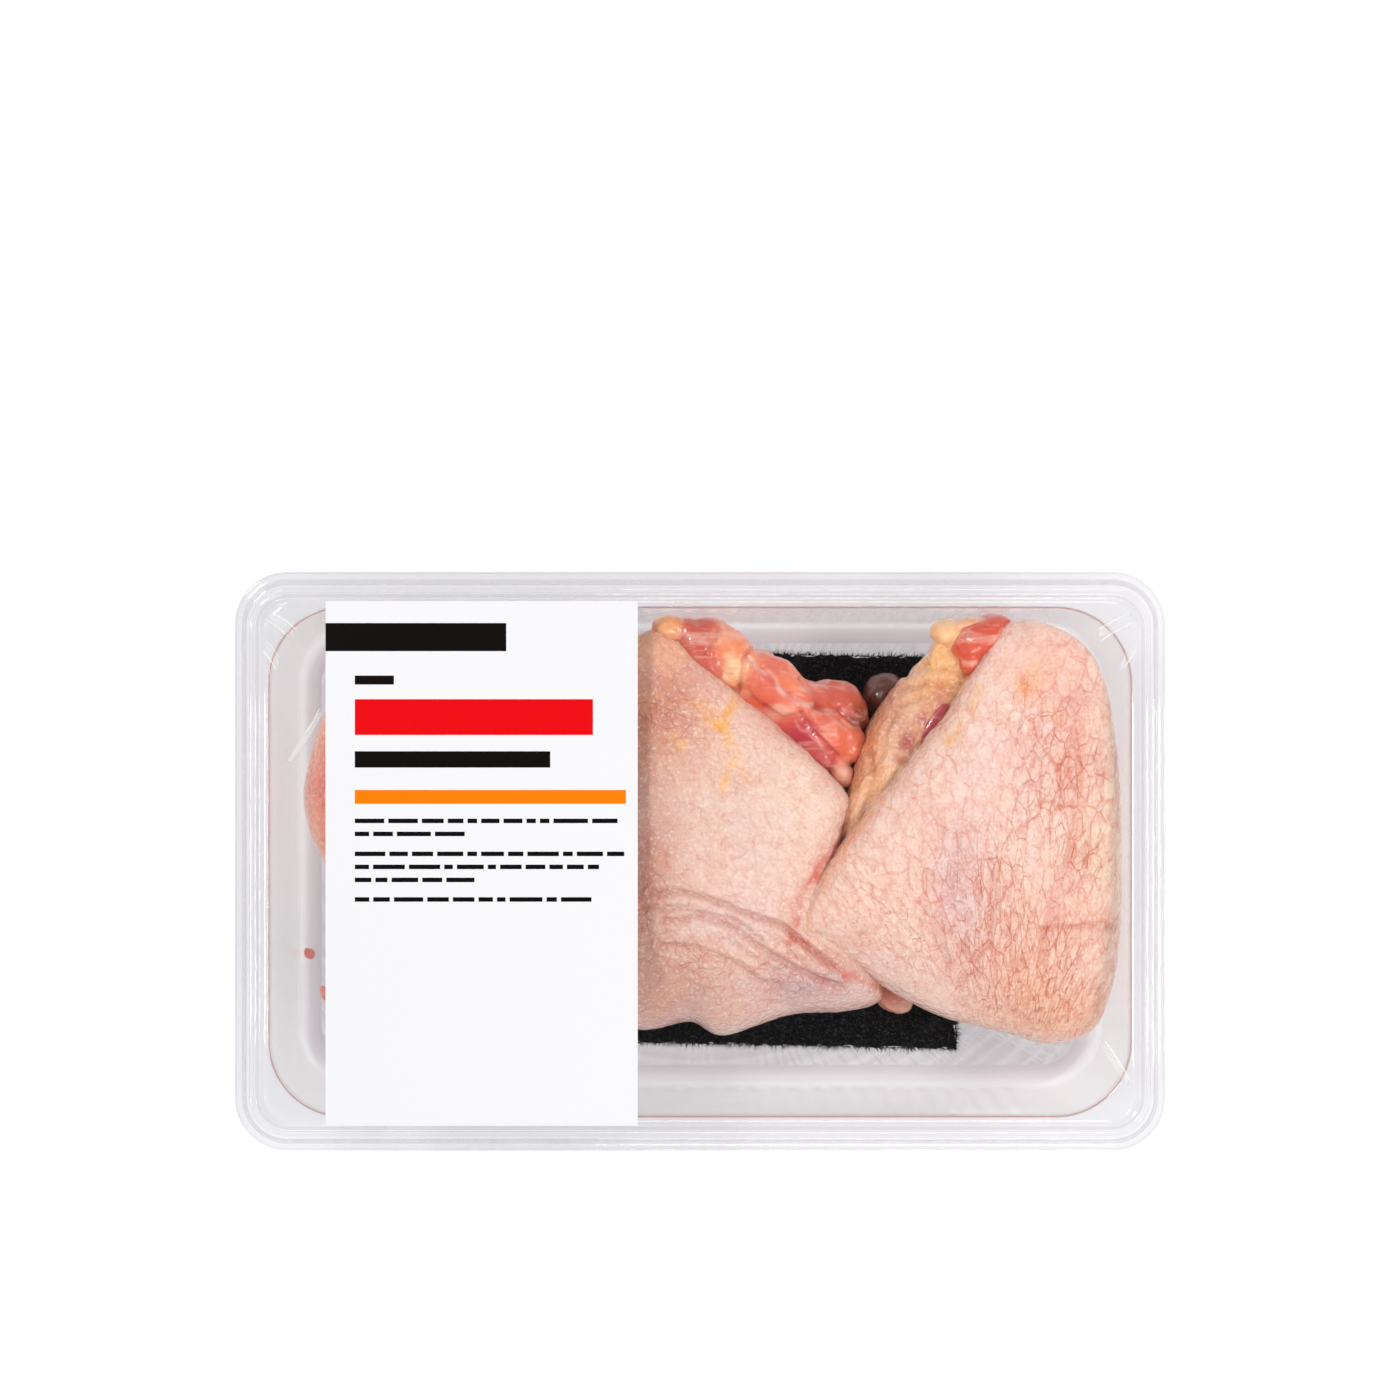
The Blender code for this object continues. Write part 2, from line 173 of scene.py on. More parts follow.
# Noises of one size but several seeds, side by side as one vector for each point
def noiseVector(points, size, seeds):
    return np.stack([latticeNoise(points, size, seed) for seed in seeds], axis=-1)


# How far each point is in plan from a place in millimetres, as a share of the radius there
def planReach(points, x, y, radius):
    return np.linalg.norm((points[..., :2] - np.array([x, y]) * mm) / (np.array(radius) * mm), axis=-1)


# Colours moved towards another colour by a share of the way
def tinted(tones, colour, share):
    return tones + (fromHex(colour) - tones) * share[..., None]


# A mesh's places or its normals, a row for each point
def readPoints(mesh, layer):
    values = np.empty(len(mesh.vertices) * 3, dtype=np.float32)
    mesh.vertices.foreach_get(layer, values)
    return values.reshape(-1, 3)


# Stores a value for each point for the materials to read: a colour as tone, a vector as weave and
# a number under any other name
def storeLayer(mesh, name, values):
    kind, key = {
        "tone": ("FLOAT_COLOR", "color"), "weave": ("FLOAT_VECTOR", "vector"),
    }.get(name, ("FLOAT", "value"))
    if name == "tone":
        values = np.pad(values, ((0, 0), (0, 1)), constant_values=1.0)
    layer = mesh.attributes.new(name, kind, "POINT")
    layer.data.foreach_set(key, np.asarray(values, dtype=np.float32).ravel())


# Puts a mesh in the scene as a piece of the pack
def addPiece(mesh, material, slot, *nodes):
    piece = bpy.data.objects.new(mesh.name, mesh)
    bpy.context.scene.collection.objects.link(piece)
    piece.data.materials.clear()
    piece.data.materials.append(material)
    if nodes:
        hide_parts(*nodes)
    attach(piece, "root")
    return piece


# One mesh from bodies given as their points and their arrays of faces
def joinParts(name, parts):
    points = np.concatenate([part[0] for part in parts])
    shifts = np.cumsum([0] + [len(part[0]) for part in parts])
    faces = [some + shift for part, shift in zip(parts, shifts) for some in part[1]]
    return meshFrom(name, points, faces)


# Materials

# Adds a shader node, sets its properties and fills its inputs with values or links. A node that
# is given as a value stands for its first output in use
def addNode(tree, kind, inputs=None, **settings):
    node = tree.nodes.new("ShaderNode" + kind)
    for key, value in settings.items():
        setattr(node, key, value)
    for key, value in (inputs or {}).items():
        if isinstance(value, bpy.types.Node):
            value = next(output for output in value.outputs if output.enabled)
        if isinstance(value, bpy.types.NodeSocket):
            tree.links.new(value, node.inputs[key])
        else:
            node.inputs[key].default_value = value
    return node


# An empty material, the function that adds nodes to it, and each point's place on the piece
def startMaterial(name):
    material = bpy.data.materials.new(name)
    material.use_nodes = True
    material.node_tree.nodes.clear()
    add = functools.partial(addNode, material.node_tree)
    return material, add, add("TexCoord").outputs["Object"]


petLook = {
    # each pair: the walls and floor, then the rim; a tint's own pair: lying flat, standing steep
    # on the rim the steep faces pass a darker grey: painted shade for the light their slopes bend away
    "tint": (("#efecee", "#f9f8f9"), ("#f3f3f5", "#e6e6e9")),   # what passes one face
    "haze": "#fafafc",          # what the cloudy part scatters
    "cloud": (0.035, 0.06),     # share scattered on the straight way through one face
    "mirror": (0.35, 1.0),      # how much of the grazing gloss is kept
    "ior": 1.57,
    "roughness": (0.20, 0.035),
    "ripple": 0.06,
}

filmLook = {
    "tint": (("#fefefe", "#fefefe"),) * 2,
    "haze": "#ffffff",
    "cloud": (0.002, 0.002),
    "mirror": (1.0, 1.0),
    "ior": 1.38,
    "roughness": (0.03, 0.03),
    "ripple": 0.08,
}

# where film is creased it shows white: a painted highlight, a matt white cloud standing in for the glint
# along each crease, and a thinner one on the swells beside them for their painted sheen
creaseGlintLook = dict(filmLook, cloud=(0.85, 0.85), mirror=(0.25, 0.25), roughness=(0.15, 0.15))
swellSheenLook = dict(creaseGlintLook, cloud=(0.32, 0.32))
# the line round the mouth: film tinted the colour of the meat, a painted refraction
refractionLineLook = dict(creaseGlintLook, tint=(("#f0c4b8", "#e9b4a6"), ("#fefefe", "#fefefe")),
                haze="#f0c4b6", cloud=(0.3, 0.3))


# Thermoformed PET sheet, or a polyethylene lid film: clear, faintly grey, with a soft cloud from
# the forming and a mirror gloss that only its bends catch. The gloss grows with the fifth power
# of how far a face turns away from the eye, from the share that its IOR gives straight on. The
# cloud grows with the way through the sheet, which is one over the cosine of that turn
def clearPlastic(name, look):
    material, add, place = startMaterial(name)
    ripple = add("TexNoise", {"Vector": place, "Scale": 120.0, "Detail": 2.0})
    bump = add("Bump", {"Height": ripple, "Strength": look["ripple"], "Distance": 0.0004})
    facing = add("LayerWeight", {"Blend": 0.5, "Normal": bump}).outputs["Facing"]
    rim, slant = (add("Attribute", attribute_name=layer).outputs["Fac"] for layer in ("zone", "slant"))
    wallTint, rimTint = (add("Mix", {
        0: slant, 6: fullColour(flat), 7: fullColour(steep),
    }, data_type="RGBA") for flat, steep in look["tint"])
    tint = add("Mix", {0: rim, 6: wallTint, 7: rimTint}, data_type="RGBA")
    through = add("BsdfTransparent", {"Color": tint})
    matt, behind = (add(kind, {"Color": fullColour(look["haze"])})
                    for kind in ("BsdfDiffuse", "BsdfTranslucent"))
    scatter = add("MixShader", {0: 0.5, 1: matt, 2: behind})
    clear = [1 - share for share in look["cloud"]]
    passed, rough, mirror = (add("MapRange", {
        "Value": rim, "To Min": wall, "To Max": edge,
    }) for wall, edge in (clear, look["roughness"], look["mirror"]))
    cosine = add("Math", {0: 1.0, 1: facing}, operation="SUBTRACT")
    bounded = add("Math", {0: cosine, 1: 0.05}, operation="MAXIMUM")
    way = add("Math", {0: 1.0, 1: bounded}, operation="DIVIDE")
    kept = add("Math", {0: passed, 1: way}, operation="POWER")
    cloud = add("Math", {0: 1.0, 1: kept}, operation="SUBTRACT")
    body = add("MixShader", {0: cloud, 1: through, 2: scatter})
    gloss = add("BsdfGlossy", {"Roughness": rough, "Normal": bump})
    grazing = add("Math", {0: facing, 1: 5.0}, operation="POWER")
    mirrored = add("Math", {0: grazing, 1: mirror}, operation="MULTIPLY")
    straight = ((look["ior"] - 1) / (look["ior"] + 1)) ** 2
    share = add("Math", {0: mirrored, 1: 1 - straight, 2: straight}, operation="MULTIPLY_ADD")
    surface = add("MixShader", {0: share, 1: body, 2: gloss})
    add("OutputMaterial", {"Surface": surface})
    return material


skinLook = {
    "grain": 1.3 * mm,      # fine mottling
    "warp": 0.9,            # how far the net of creases wanders, in cells
    "roughness": (0.26, 0.48),
    "blush": "#e48a76",
    # crease: how the net's creases are multiplied darker, partly painted shade
    "crease": (0.90, 0.45, 0.34, 1.0),
    "creaseShare": 0.95,
}


# Raw chicken skin: a wet, thin and cloudy membrane over fat, so light goes in and comes out warmer. It
# crinkles into a net of fine pink creases round soft cells, whose tops glint; the creases are darkened
# further as painted shade
def wetSkin(name, look):
    material, add, place = startMaterial(name)
    tone = add("Attribute", attribute_name="tone")
    strength = add("Attribute", attribute_name="net").outputs["Fac"]
    weave = add("Attribute", attribute_name="weave").outputs["Vector"]
    wander = add("TexNoise", {"Vector": place, "Scale": 260.0, "Detail": 2.0}).outputs["Color"]
    warped = add("VectorMath", {
        0: wander, 1: (look["warp"],) * 3, 2: weave,
    }, operation="MULTIPLY_ADD")

    def creases(scale, width):
        cells = add("TexVoronoi", {"Vector": warped, "Scale": scale}, feature="DISTANCE_TO_EDGE")
        return add("MapRange", {
            "Value": cells, "From Min": 0.0, "From Max": width, "To Min": 1.0, "To Max": 0.0,
        }, interpolation_type="SMOOTHSTEP")

    small = add("Math", {0: creases(1.0, 0.09), 1: 0.55}, operation="MULTIPLY")
    net = add("Math", {0: small, 1: creases(0.45, 0.055)}, operation="MAXIMUM")
    mottle, specks, fine, water = (add("TexNoise", {
        "Vector": place, "Scale": scale / look["grain"], "Detail": detail, "Roughness": rough,
    }) for scale, detail, rough in ((0.5, 6.0, 0.66), (1.5, 3.0, 0.6), (1.9, 5.0, 0.66), (0.75, 1.5, 0.5)))
    broken, mottleShare, speckShare, paleShare = (add("MapRange", {
        "Value": noise, "From Min": start, "From Max": end, "To Min": least, "To Max": most,
    }) for noise, start, end, least, most in (
        (mottle, 0.36, 0.56, 0.15, 1.0), (mottle, 0.48, 0.76, 0.0, 0.20),
        (specks, 0.52, 0.70, 0.0, 0.28), (specks, 0.46, 0.30, 0.0, 0.5)))
    whole = add("Math", {0: net, 1: strength}, operation="MULTIPLY")
    depth = add("Math", {0: whole, 1: broken}, operation="MULTIPLY")
    bothShares = add("Math", {0: mottleShare, 1: speckShare}, operation="ADD")
    pinked = add("Mix", {0: bothShares, 6: tone, 7: fullColour(look["blush"])}, data_type="RGBA")
    paled = add("Mix", {0: paleShare, 6: pinked, 7: fullColour("#fff0e8")}, data_type="RGBA")
    # creases multiplied darker: partly the skin's own pink creases, partly painted shade
    creaseShare = add("Math", {0: depth, 1: look["creaseShare"]}, operation="MULTIPLY")
    creased = add("Mix", {
        0: creaseShare, 6: paled, 7: look["crease"],
    }, data_type="RGBA", blend_type="MULTIPLY")
    beads = add("TexVoronoi", {"Vector": warped, "Scale": 2.1})
    bead = add("MapRange", {
        "Value": beads, "From Min": 0.05, "From Max": 0.6, "To Min": 0.22, "To Max": 0.0,
    })
    grainy = add("Math", {0: fine, 1: 0.85, 2: bead}, operation="MULTIPLY_ADD")
    height = add("Math", {0: depth, 1: -0.75, 2: grainy}, operation="MULTIPLY_ADD")
    bump = add("Bump", {"Height": height, "Strength": 0.75, "Distance": 0.00036})
    wet = add("Math", {0: water, 1: 5.0, 2: height}, operation="MULTIPLY_ADD")
    wetBump = add("Bump", {"Height": wet, "Strength": 1.0, "Distance": 0.0005})
    gloss = add("MapRange", {
        "Value": mottle, "From Min": 0.3, "From Max": 0.7,
        "To Min": look["roughness"][0], "To Max": look["roughness"][1],
    })
    shader = add("BsdfPrincipled", {
        "Base Color": creased, "Roughness": gloss, "IOR": 1.42, "Normal": bump,
        "Subsurface Weight": 0.12, "Subsurface Radius": (1.0, 0.45, 0.3),
        "Subsurface Scale": 0.0012,
        "Coat Weight": 1.0, "Coat Roughness": 0.08, "Coat Normal": wetBump,
    })
    add("OutputMaterial", {"Surface": shader})
    return material


meatLook = {
    "fibre": 0.9 * mm,      # width of a bundle of muscle fibres
    "along": 9.0,           # how many times longer than wide
    "pale": "#f6c6b4",
    "deep": "#c9574f",
}


# Raw thigh muscle: wet bundles of fibre under a clear, white-streaked membrane, which gives fine
# lines along each lobe and small sharp glints
def wetMeat(name, look):
    material, add, place = startMaterial(name)
    tone = add("Attribute", attribute_name="tone")
    turned = add("Mapping", {
        "Vector": place, "Rotation": (0.0, 0.0, math.radians(40)),
        "Scale": (1 / look["along"], 1.0, 1.0),
    })
    strands = add("TexNoise", {"Vector": turned, "Scale": 1 / look["fibre"], "Detail": 3.0})
    membrane = add("TexNoise", {
        "Vector": turned, "Scale": 0.22 / look["fibre"], "Detail": 5.0, "Roughness": 0.7,
    })
    deepShare, paleShare = (add("MapRange", {
        "Value": noise, "From Min": start, "From Max": end, "To Max": most,
    }) for noise, start, end, most in ((strands, 0.55, 0.30, 0.28), (membrane, 0.53, 0.68, 0.6)))
    deepened = add("Mix", {0: deepShare, 6: tone, 7: fullColour(look["deep"])}, data_type="RGBA")
    paled = add("Mix", {0: paleShare, 6: deepened, 7: fullColour(look["pale"])}, data_type="RGBA")
    bump = add("Bump", {"Height": strands, "Strength": 0.35, "Distance": 0.0003})
    shader = add("BsdfPrincipled", {
        "Base Color": paled, "Roughness": 0.34, "IOR": 1.42, "Normal": bump,
        "Subsurface Weight": 0.25, "Subsurface Radius": (1.0, 0.3, 0.2), "Subsurface Scale": 0.002,
        "Coat Weight": 0.6, "Coat Roughness": 0.08,
    })
    add("OutputMaterial", {"Surface": shader})
    return material


# Chicken fat: soft, waxy, yellow and lumpy, a little wet
def softFat(name):
    material, add, place = startMaterial(name)
    tone = add("Attribute", attribute_name="tone")
    lumps = add("TexNoise", {"Vector": place, "Scale": 620.0, "Detail": 4.0})
    share = add("MapRange", {"Value": lumps, "From Min": 0.45, "From Max": 0.75, "To Max": 0.4})
    varied = add("Mix", {
        0: share, 6: tone, 7: fullColour("#ffb487"),
    }, data_type="RGBA", blend_type="MULTIPLY")
    bump = add("Bump", {"Height": lumps, "Strength": 0.5, "Distance": 0.0004})
    shader = add("BsdfPrincipled", {
        "Base Color": varied, "Roughness": 0.36, "IOR": 1.45, "Normal": bump,
        "Subsurface Weight": 0.3, "Subsurface Radius": (1.0, 0.55, 0.25), "Subsurface Scale": 0.002,
        "Coat Weight": 0.35, "Coat Roughness": 0.12,
    })
    add("OutputMaterial", {"Surface": shader})
    return material


# Coated label paper: bright white, faintly bluish, smooth with a satin sheen
def labelPaper(name):
    material, add, place = startMaterial(name)
    grain = add("TexNoise", {"Vector": place, "Scale": 2500.0, "Detail": 3.0})
    tint = add("Mix", {0: grain, 6: fullColour("#e1e1e3"), 7: fullColour("#e5e5e8")}, data_type="RGBA")
    bump = add("Bump", {"Height": grain, "Strength": 0.08, "Distance": 0.0001})
    shader = add("BsdfPrincipled", {"Base Color": tint, "Roughness": 0.5, "Normal": bump})
    add("OutputMaterial", {"Surface": shader})
    return material


# Offset printing ink on coated paper: flat colour with the paper's fine grain in its gloss
def printInk(name, colour, darker):
    material, add, place = startMaterial(name)
    grain = add("TexNoise", {"Vector": place, "Scale": 1800.0, "Detail": 2.0})
    tint = add("Mix", {0: grain, 6: fullColour(colour), 7: fullColour(darker)}, data_type="RGBA")
    shader = add("BsdfPrincipled", {"Base Color": tint, "Roughness": 0.4, "IOR": 1.18})
    add("OutputMaterial", {"Surface": shader})
    return material


# Non-woven polypropylene felt: matt black, bonded from crossed fibres that catch a little light
def blackFelt(name):
    material, add, place = startMaterial(name)
    fibres = add("TexNoise", {
        "Vector": place, "Scale": 900.0, "Detail": 6.0, "Roughness": 0.7, "Distortion": 1.5,
    })
    tint = add("ValToRGB", {"Fac": fibres})
    for stop, (position, colour) in zip(tint.color_ramp.elements, ((0.50, "#050506"), (0.80, "#46484c"))):
        stop.position = position
        stop.color = fullColour(colour)
    bump = add("Bump", {"Height": fibres, "Strength": 0.9, "Distance": 0.0005})
    shader = add("BsdfPrincipled", {
        "Base Color": tint, "Roughness": 0.85, "Normal": bump, "IOR": 1.15,
        "Sheen Weight": 0.03, "Sheen Roughness": 0.4,
    })
    add("OutputMaterial", {"Surface": shader})
    return material


# Tray

tray = {
    "wall": 0.5 * mm,
    "draft": math.radians(4),
    "floorFillet": 5.0 * mm,
    "mouthRadius": 18.3 * mm,
    "rimWidth": 9.1 * mm,
    "ledgeDrop": 1.5 * mm,
    "ledgeWidth": 2.6 * mm,
    "ledgeRadius": 7.3 * mm,
    "lipDrop": 5.6 * mm,
    "outerRadius": 13.0 * mm,
    "longColumns": 170,
    "shortColumns": 40,
    "cornerColumns": 18,
    "ribDepth": 0.40 * mm,
    "ribPitch": 5.4 * mm,
    "ribReach": 84.0 * mm,   # the ribs end this far from the middle of each long wall
    "ribSpan": (5 * mm, 44 * mm),           # their lowest and highest place
    "ribFade": (6 * mm, 5 * mm, 6 * mm),    # how they fade below, above and at the ends
}

trayHigh = np.array(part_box("tray")[1])
trayHeight = trayHigh[2]
mouthHalf = trayHigh[:2] - tray["rimWidth"]
ledgeHeight = trayHeight - tray["ledgeDrop"]


# The columns of every ring of the tray: the signs of the corner that each follows, which slide
# from one corner to the next along the straights, and the way that it faces
def rimColumns():
    signs = ((1, 1), (-1, 1), (-1, -1), (1, -1))
    straights = (tray["longColumns"], tray["shortColumns"]) * 2
    pieces = []
    for quarter in range(4):
        turn = np.radians(90 * (quarter + np.linspace(0, 1, tray["cornerColumns"])))
        own = np.array(signs[quarter], dtype=float)
        following = np.array(signs[(quarter + 1) % 4], dtype=float)
        pieces.append(np.column_stack([np.tile(own, (len(turn), 1)), turn]))
        share = np.linspace(0, 1, straights[quarter] + 2)[1:-1, None]
        straight = own + (following - own) * share
        facing = np.full((len(share), 1), math.radians(90 * (quarter + 1)))
        pieces.append(np.column_stack([straight, facing]))
    return np.concatenate(pieces)


# A ring round the mouth: outset, height and corner radius give its points, one to a column
def rimRing(columns, outset, height, radius):
    x = columns[:, 0] * (mouthHalf[0] + outset - radius) + radius * np.cos(columns[:, 2])
    y = columns[:, 1] * (mouthHalf[1] + outset - radius) + radius * np.sin(columns[:, 2])
    return np.column_stack([x, y, np.full(len(columns), height)])


# A path with each inner corner replaced by a short curve: a quadratic curve from a point on one
# side, drawn towards the corner, to a point as far along the other side
def easedPath(corners, reach=0.42, limit=0.9 * mm, steps=5):
    corners = np.array(corners)
    path = [corners[0]]
    for before, corner, after in zip(corners, corners[1:], corners[2:]):
        sides = []
        for other in (before, after):
            gap = other - corner
            length = np.linalg.norm(gap[:2])
            sides.append(corner + gap * min(reach, limit / length))
        t = np.linspace(0, 1, steps)[:, None]
        path.extend((1 - t) ** 2 * sides[0] + 2 * t * (1 - t) * corner + t ** 2 * sides[1])
    path.append(corners[-1])
    return np.array(path)


# The tray's upper face as (outset, height, corner radius), from the floor's edge to the lip
def trayPath():
    mouth = ledgeHeight - 0.5 * mm
    foot = tray["wall"] + tray["floorFillet"]
    wallFoot = -(mouth - foot) * math.tan(tray["draft"])
    fillet = []
    for turn in np.radians(np.linspace(90, 0, 9)):
        outset = wallFoot - tray["floorFillet"] * (1 - math.cos(turn))
        height = foot - tray["floorFillet"] * math.sin(turn)
        fillet.append((outset, height, tray["mouthRadius"] + outset))
    heights = np.linspace(foot, mouth, 14)[1:-1]
    wall = [(outset, height, tray["mouthRadius"] + outset) for outset, height in
            zip(-(mouth - heights) * math.tan(tray["draft"]), heights)]
    top = trayHeight
    width = tray["ledgeWidth"]
    inner = tray["ledgeRadius"]
    rim = easedPath([
        (0.0, mouth - 1.2 * mm, tray["mouthRadius"]),
        (0.0, mouth, tray["mouthRadius"]),
        (0.5 * mm, ledgeHeight, tray["mouthRadius"] + 0.5 * mm),
        (width, ledgeHeight, inner),
        (width + 0.4 * mm, top - 0.1 * mm, inner + 0.4 * mm),
        (4.0 * mm, top, 8.8 * mm),
        (4.3 * mm, top - 0.45 * mm, 9.1 * mm),
        (4.6 * mm, top, 9.4 * mm),
        (5.8 * mm, top - 0.05 * mm, 10.2 * mm),
        (6.2 * mm, top - 0.7 * mm, 10.6 * mm),
        (7.1 * mm, top - 4.9 * mm, 11.3 * mm),
        (7.6 * mm, top - 5.3 * mm, 11.8 * mm),
        (tray["rimWidth"] - 0.25 * mm, top - 5.3 * mm, tray["outerRadius"]),
        (tray["rimWidth"], top - tray["lipDrop"], tray["outerRadius"]),
    ])
    return np.concatenate([fillet, wall, rim])


# The lower face: the upper one moved a wall's thickness along its normal
def underPath(path):
    along = np.gradient(path[:, :2], axis=0)
    along /= np.linalg.norm(along, axis=1, keepdims=True)
    shift = np.column_stack([along[:, 1], -along[:, 0]]) * tray["wall"]
    under = path.copy()
    under[:, :2] += shift
    under[:, 2] += shift[:, 0]
    under[0, :2] = (path[0, 0], path[0, 1] - tray["wall"])
    under[:, 0] = np.minimum(under[:, 0], tray["rimWidth"])
    under[:, 1] = np.maximum(under[:, 1], 0.0)
    return under


# The tray: its lower face out from the middle and its upper face back, as one closed grid of
# rings. Ribs press the long walls outwards by a wave with flat crests, which dies out at its ends.
# The shader is told where the rim is, and how steeply each ring stands
def makeTray(material):
    columns = rimColumns()
    upper = trayPath()
    rows = np.concatenate([underPath(upper), upper[::-1]])
    grid = np.array([rimRing(columns, *row) for row in rows])
    onLongWall = (np.abs(columns[:, 0]) < 1) & (np.abs(np.sin(columns[:, 2])) > 0.99)
    across, height = grid[..., 0], grid[..., 2]
    wave = np.clip(2.2 * np.cos(2 * np.pi * across / tray["ribPitch"]), -1, 1) * 0.5 - 0.5
    low, high = tray["ribSpan"]
    fadeLow, fadeHigh, fadeEnd = tray["ribFade"]
    upTheWall = np.clip((height - low) / fadeLow, 0, 1) * np.clip((high - height) / fadeHigh, 0, 1)
    ends = np.clip((tray["ribReach"] - np.abs(across)) / fadeEnd, 0, 1)
    ribs = tray["ribDepth"] * wave * upTheWall * ends * onLongWall * (rows[:, None, 0] < 0.001 * mm)
    grid[..., 1] += ribs * np.sin(columns[:, 2])
    beneath, above = ([grid[end] * (share, share, 1) for share in (0, 0.5)] for end in (0, -1))
    full = np.concatenate([beneath, grid, above[::-1]])
    zone = np.clip((rows[:, 0] - 0.1 * mm) / (0.3 * mm), 0, 1)
    step = np.abs(np.gradient(rows[:, :2], axis=0))
    slant = (step[:, 1] / np.maximum(np.linalg.norm(step, axis=1), 1e-9)) ** 2
    mesh = closedForm("trayShell", full)
    for name, values in (("zone", zone), ("slant", slant)):
        ringed = np.broadcast_to(np.pad(values, 2, mode="edge")[:, None], full.shape[:2])
        storeLayer(mesh, name, onClosedForm(ringed))
    return addPiece(mesh, material, "clear_plastic", "tray")


# Lid film

film = {
    "inset": 0.35 * mm,          # from the step round the ledge
    "clear": 0.30 * mm,          # above the ledge
    "thickness": 0.08 * mm,
    "sag": 0.12 * mm,
    "wire": 0.12 * mm,           # radius of the line round the mouth, a painted refraction of the meat
    "wirePlace": (0.1 * mm, 0.06 * mm),     # how far it lies outside the mouth and above the film
    # each crease in the corners, white as a painted highlight: start (x, y), end (x, y), width and height,
    # in millimetres
    "creases": (
        ((-105.4, 61.4), (-99.0, 57.0), 0.5, 0.25), ((-106.9, 59.7), (-101.0, 55.3), 0.35, 0.2),
        ((-107.6, 52.1), (-104.2, 47.2), 0.45, 0.2), ((-106.4, 54.1), (-103.4, 50.1), 0.3, 0.2),
        ((97.5, 56.8), (105.9, 61.3), 0.55, 0.25), ((98.3, 54.3), (107.2, 59.3), 0.5, 0.25),
        ((104.4, 47.5), (107.6, 52.5), 0.5, 0.25), ((99.3, -43.7), (106.1, -54.5), 0.5, 0.25),
        ((-93.4, 38.0), (-97.4, 31.0), 0.25, 0.1),
    ),
    # soft bands beside the creases, a fainter painted sheen: start (x, y), end (x, y), width and height, in
    # millimetres
    "swells": (
        ((-106.4, 60.9), (-99.8, 55.9), 2.0, 0.15), ((-107.0, 53.3), (-103.6, 48.4), 1.6, 0.12),
        ((97.6, 55.6), (106.8, 60.4), 2.4, 0.15), ((103.4, 47.2), (106.8, 52.6), 1.4, 0.12),
        ((98.5, -44.5), (105.2, -55.0), 1.8, 0.12), ((-93.0, 37.0), (-101.4, 24.4), 1.6, 0.08),
        ((-97.0, 30.0), (-100.6, 25.6), 1.0, 0.08),
    ),
}


# Height of the film's lower face over a place: level over the ledge, with a sag and fine waves
# inside it that die out towards the edge
def filmHeight(x, y):
    spot = np.stack([x, y, np.zeros_like(x)], axis=-1)
    inside = np.clip(np.minimum(mouthHalf[0] - np.abs(x), mouthHalf[1] - np.abs(y)) / (12 * mm), 0, 1)
    waves = 0.5 * latticeNoise(spot, 26 * mm, 11) + 0.25 * latticeNoise(spot, 9 * mm, 12)
    return ledgeHeight + film["clear"] + film["sag"] * inside * (waves - 0.5)


# The film: rings from the sealed edge in to the middle and back, on two faces a thickness apart
def makeFilm(material):
    outset = tray["ledgeWidth"] - film["inset"]
    edge = rimRing(rimColumns(), outset, 0.0, tray["ledgeRadius"] - film["inset"])
    shares = np.concatenate([[0.0], np.linspace(0.04, 1.0, 40)])
    top = shares[:, None, None] * edge[None]
    top[..., 2] = filmHeight(top[..., 0], top[..., 1]) + film["thickness"]
    under = top.copy()
    under[..., 2] -= film["thickness"]
    grid = np.concatenate([under, top[::-1]])
    return addPiece(closedForm("lidFilm", grid), material, "clear_film", "lid_film")


# A crease: a narrow ridge of film, lens-shaped in plan and a raised arch across
def creaseMesh(name, creases):
    parts = []
    for start, end, width, high in creases:
        start, end = np.array(start) * mm, np.array(end) * mm
        along = end - start
        side = np.array([-along[1], along[0]]) / np.linalg.norm(along)
        t = np.linspace(0.001, 0.999, 24)
        spine = start + t[:, None] * along + side * (0.25 * mm * np.sin(np.pi * t))[:, None]
        half = 0.5 * width * mm * np.sin(np.pi * t) ** 0.35
        turn = np.linspace(0, 2 * np.pi, 12, endpoint=False)
        flat = spine[:, None] + side * (half[:, None] * np.cos(turn))[..., None]
        arch = np.sqrt(np.sin(np.pi * t))[:, None] * np.maximum(np.sin(turn), -0.1)
        base = filmHeight(flat[..., 0], flat[..., 1]) + film["thickness"]
        ring = np.concatenate([flat, (base + high * mm * arch)[..., None]], axis=-1)
        parts.append(closedParts(ring))
    return joinParts(name, parts)


# The sharp creases and the soft swells beside them, each set as one piece, white as painted highlights and
# sheen
def makeCreases(sharp, soft):
    addPiece(creaseMesh("filmCreaseGlints", film["creases"]), sharp, "clear_film")
    addPiece(creaseMesh("filmSwellSheens", film["swells"]), soft, "clear_film")


# A fine round wire of film round the mouth, where the film starts to hang free, tinted the colour of the
# meat:
# a painted refraction of the meat seen through the mouth's edge
def makeRefractionLine(material):
    columns = rimColumns()
    wire = film["wire"]
    outside, lift = film["wirePlace"]
    turn = np.linspace(0, 2 * np.pi, 9)[:-1]
    outsets = outside + wire * np.cos(turn)
    heights = ledgeHeight + film["clear"] + film["thickness"] + lift + wire * np.sin(turn)
    grid = np.stack([rimRing(columns, outset, height, tray["mouthRadius"] + outset)
                     for outset, height in zip(outsets, heights)], axis=1)
    rows, around = grid.shape[:2]
    here = np.arange(rows * around).reshape(rows, around)
    across, down = (np.roll(here, -1, axis=axis) for axis in (1, 0))
    faces = np.stack([here, down, np.roll(down, -1, axis=1), across], axis=-1).reshape(-1, 4)
    return addPiece(meshFrom("paintedRefractionLine", grid.reshape(-1, 3), [faces]), material, "clear_film")


# Label

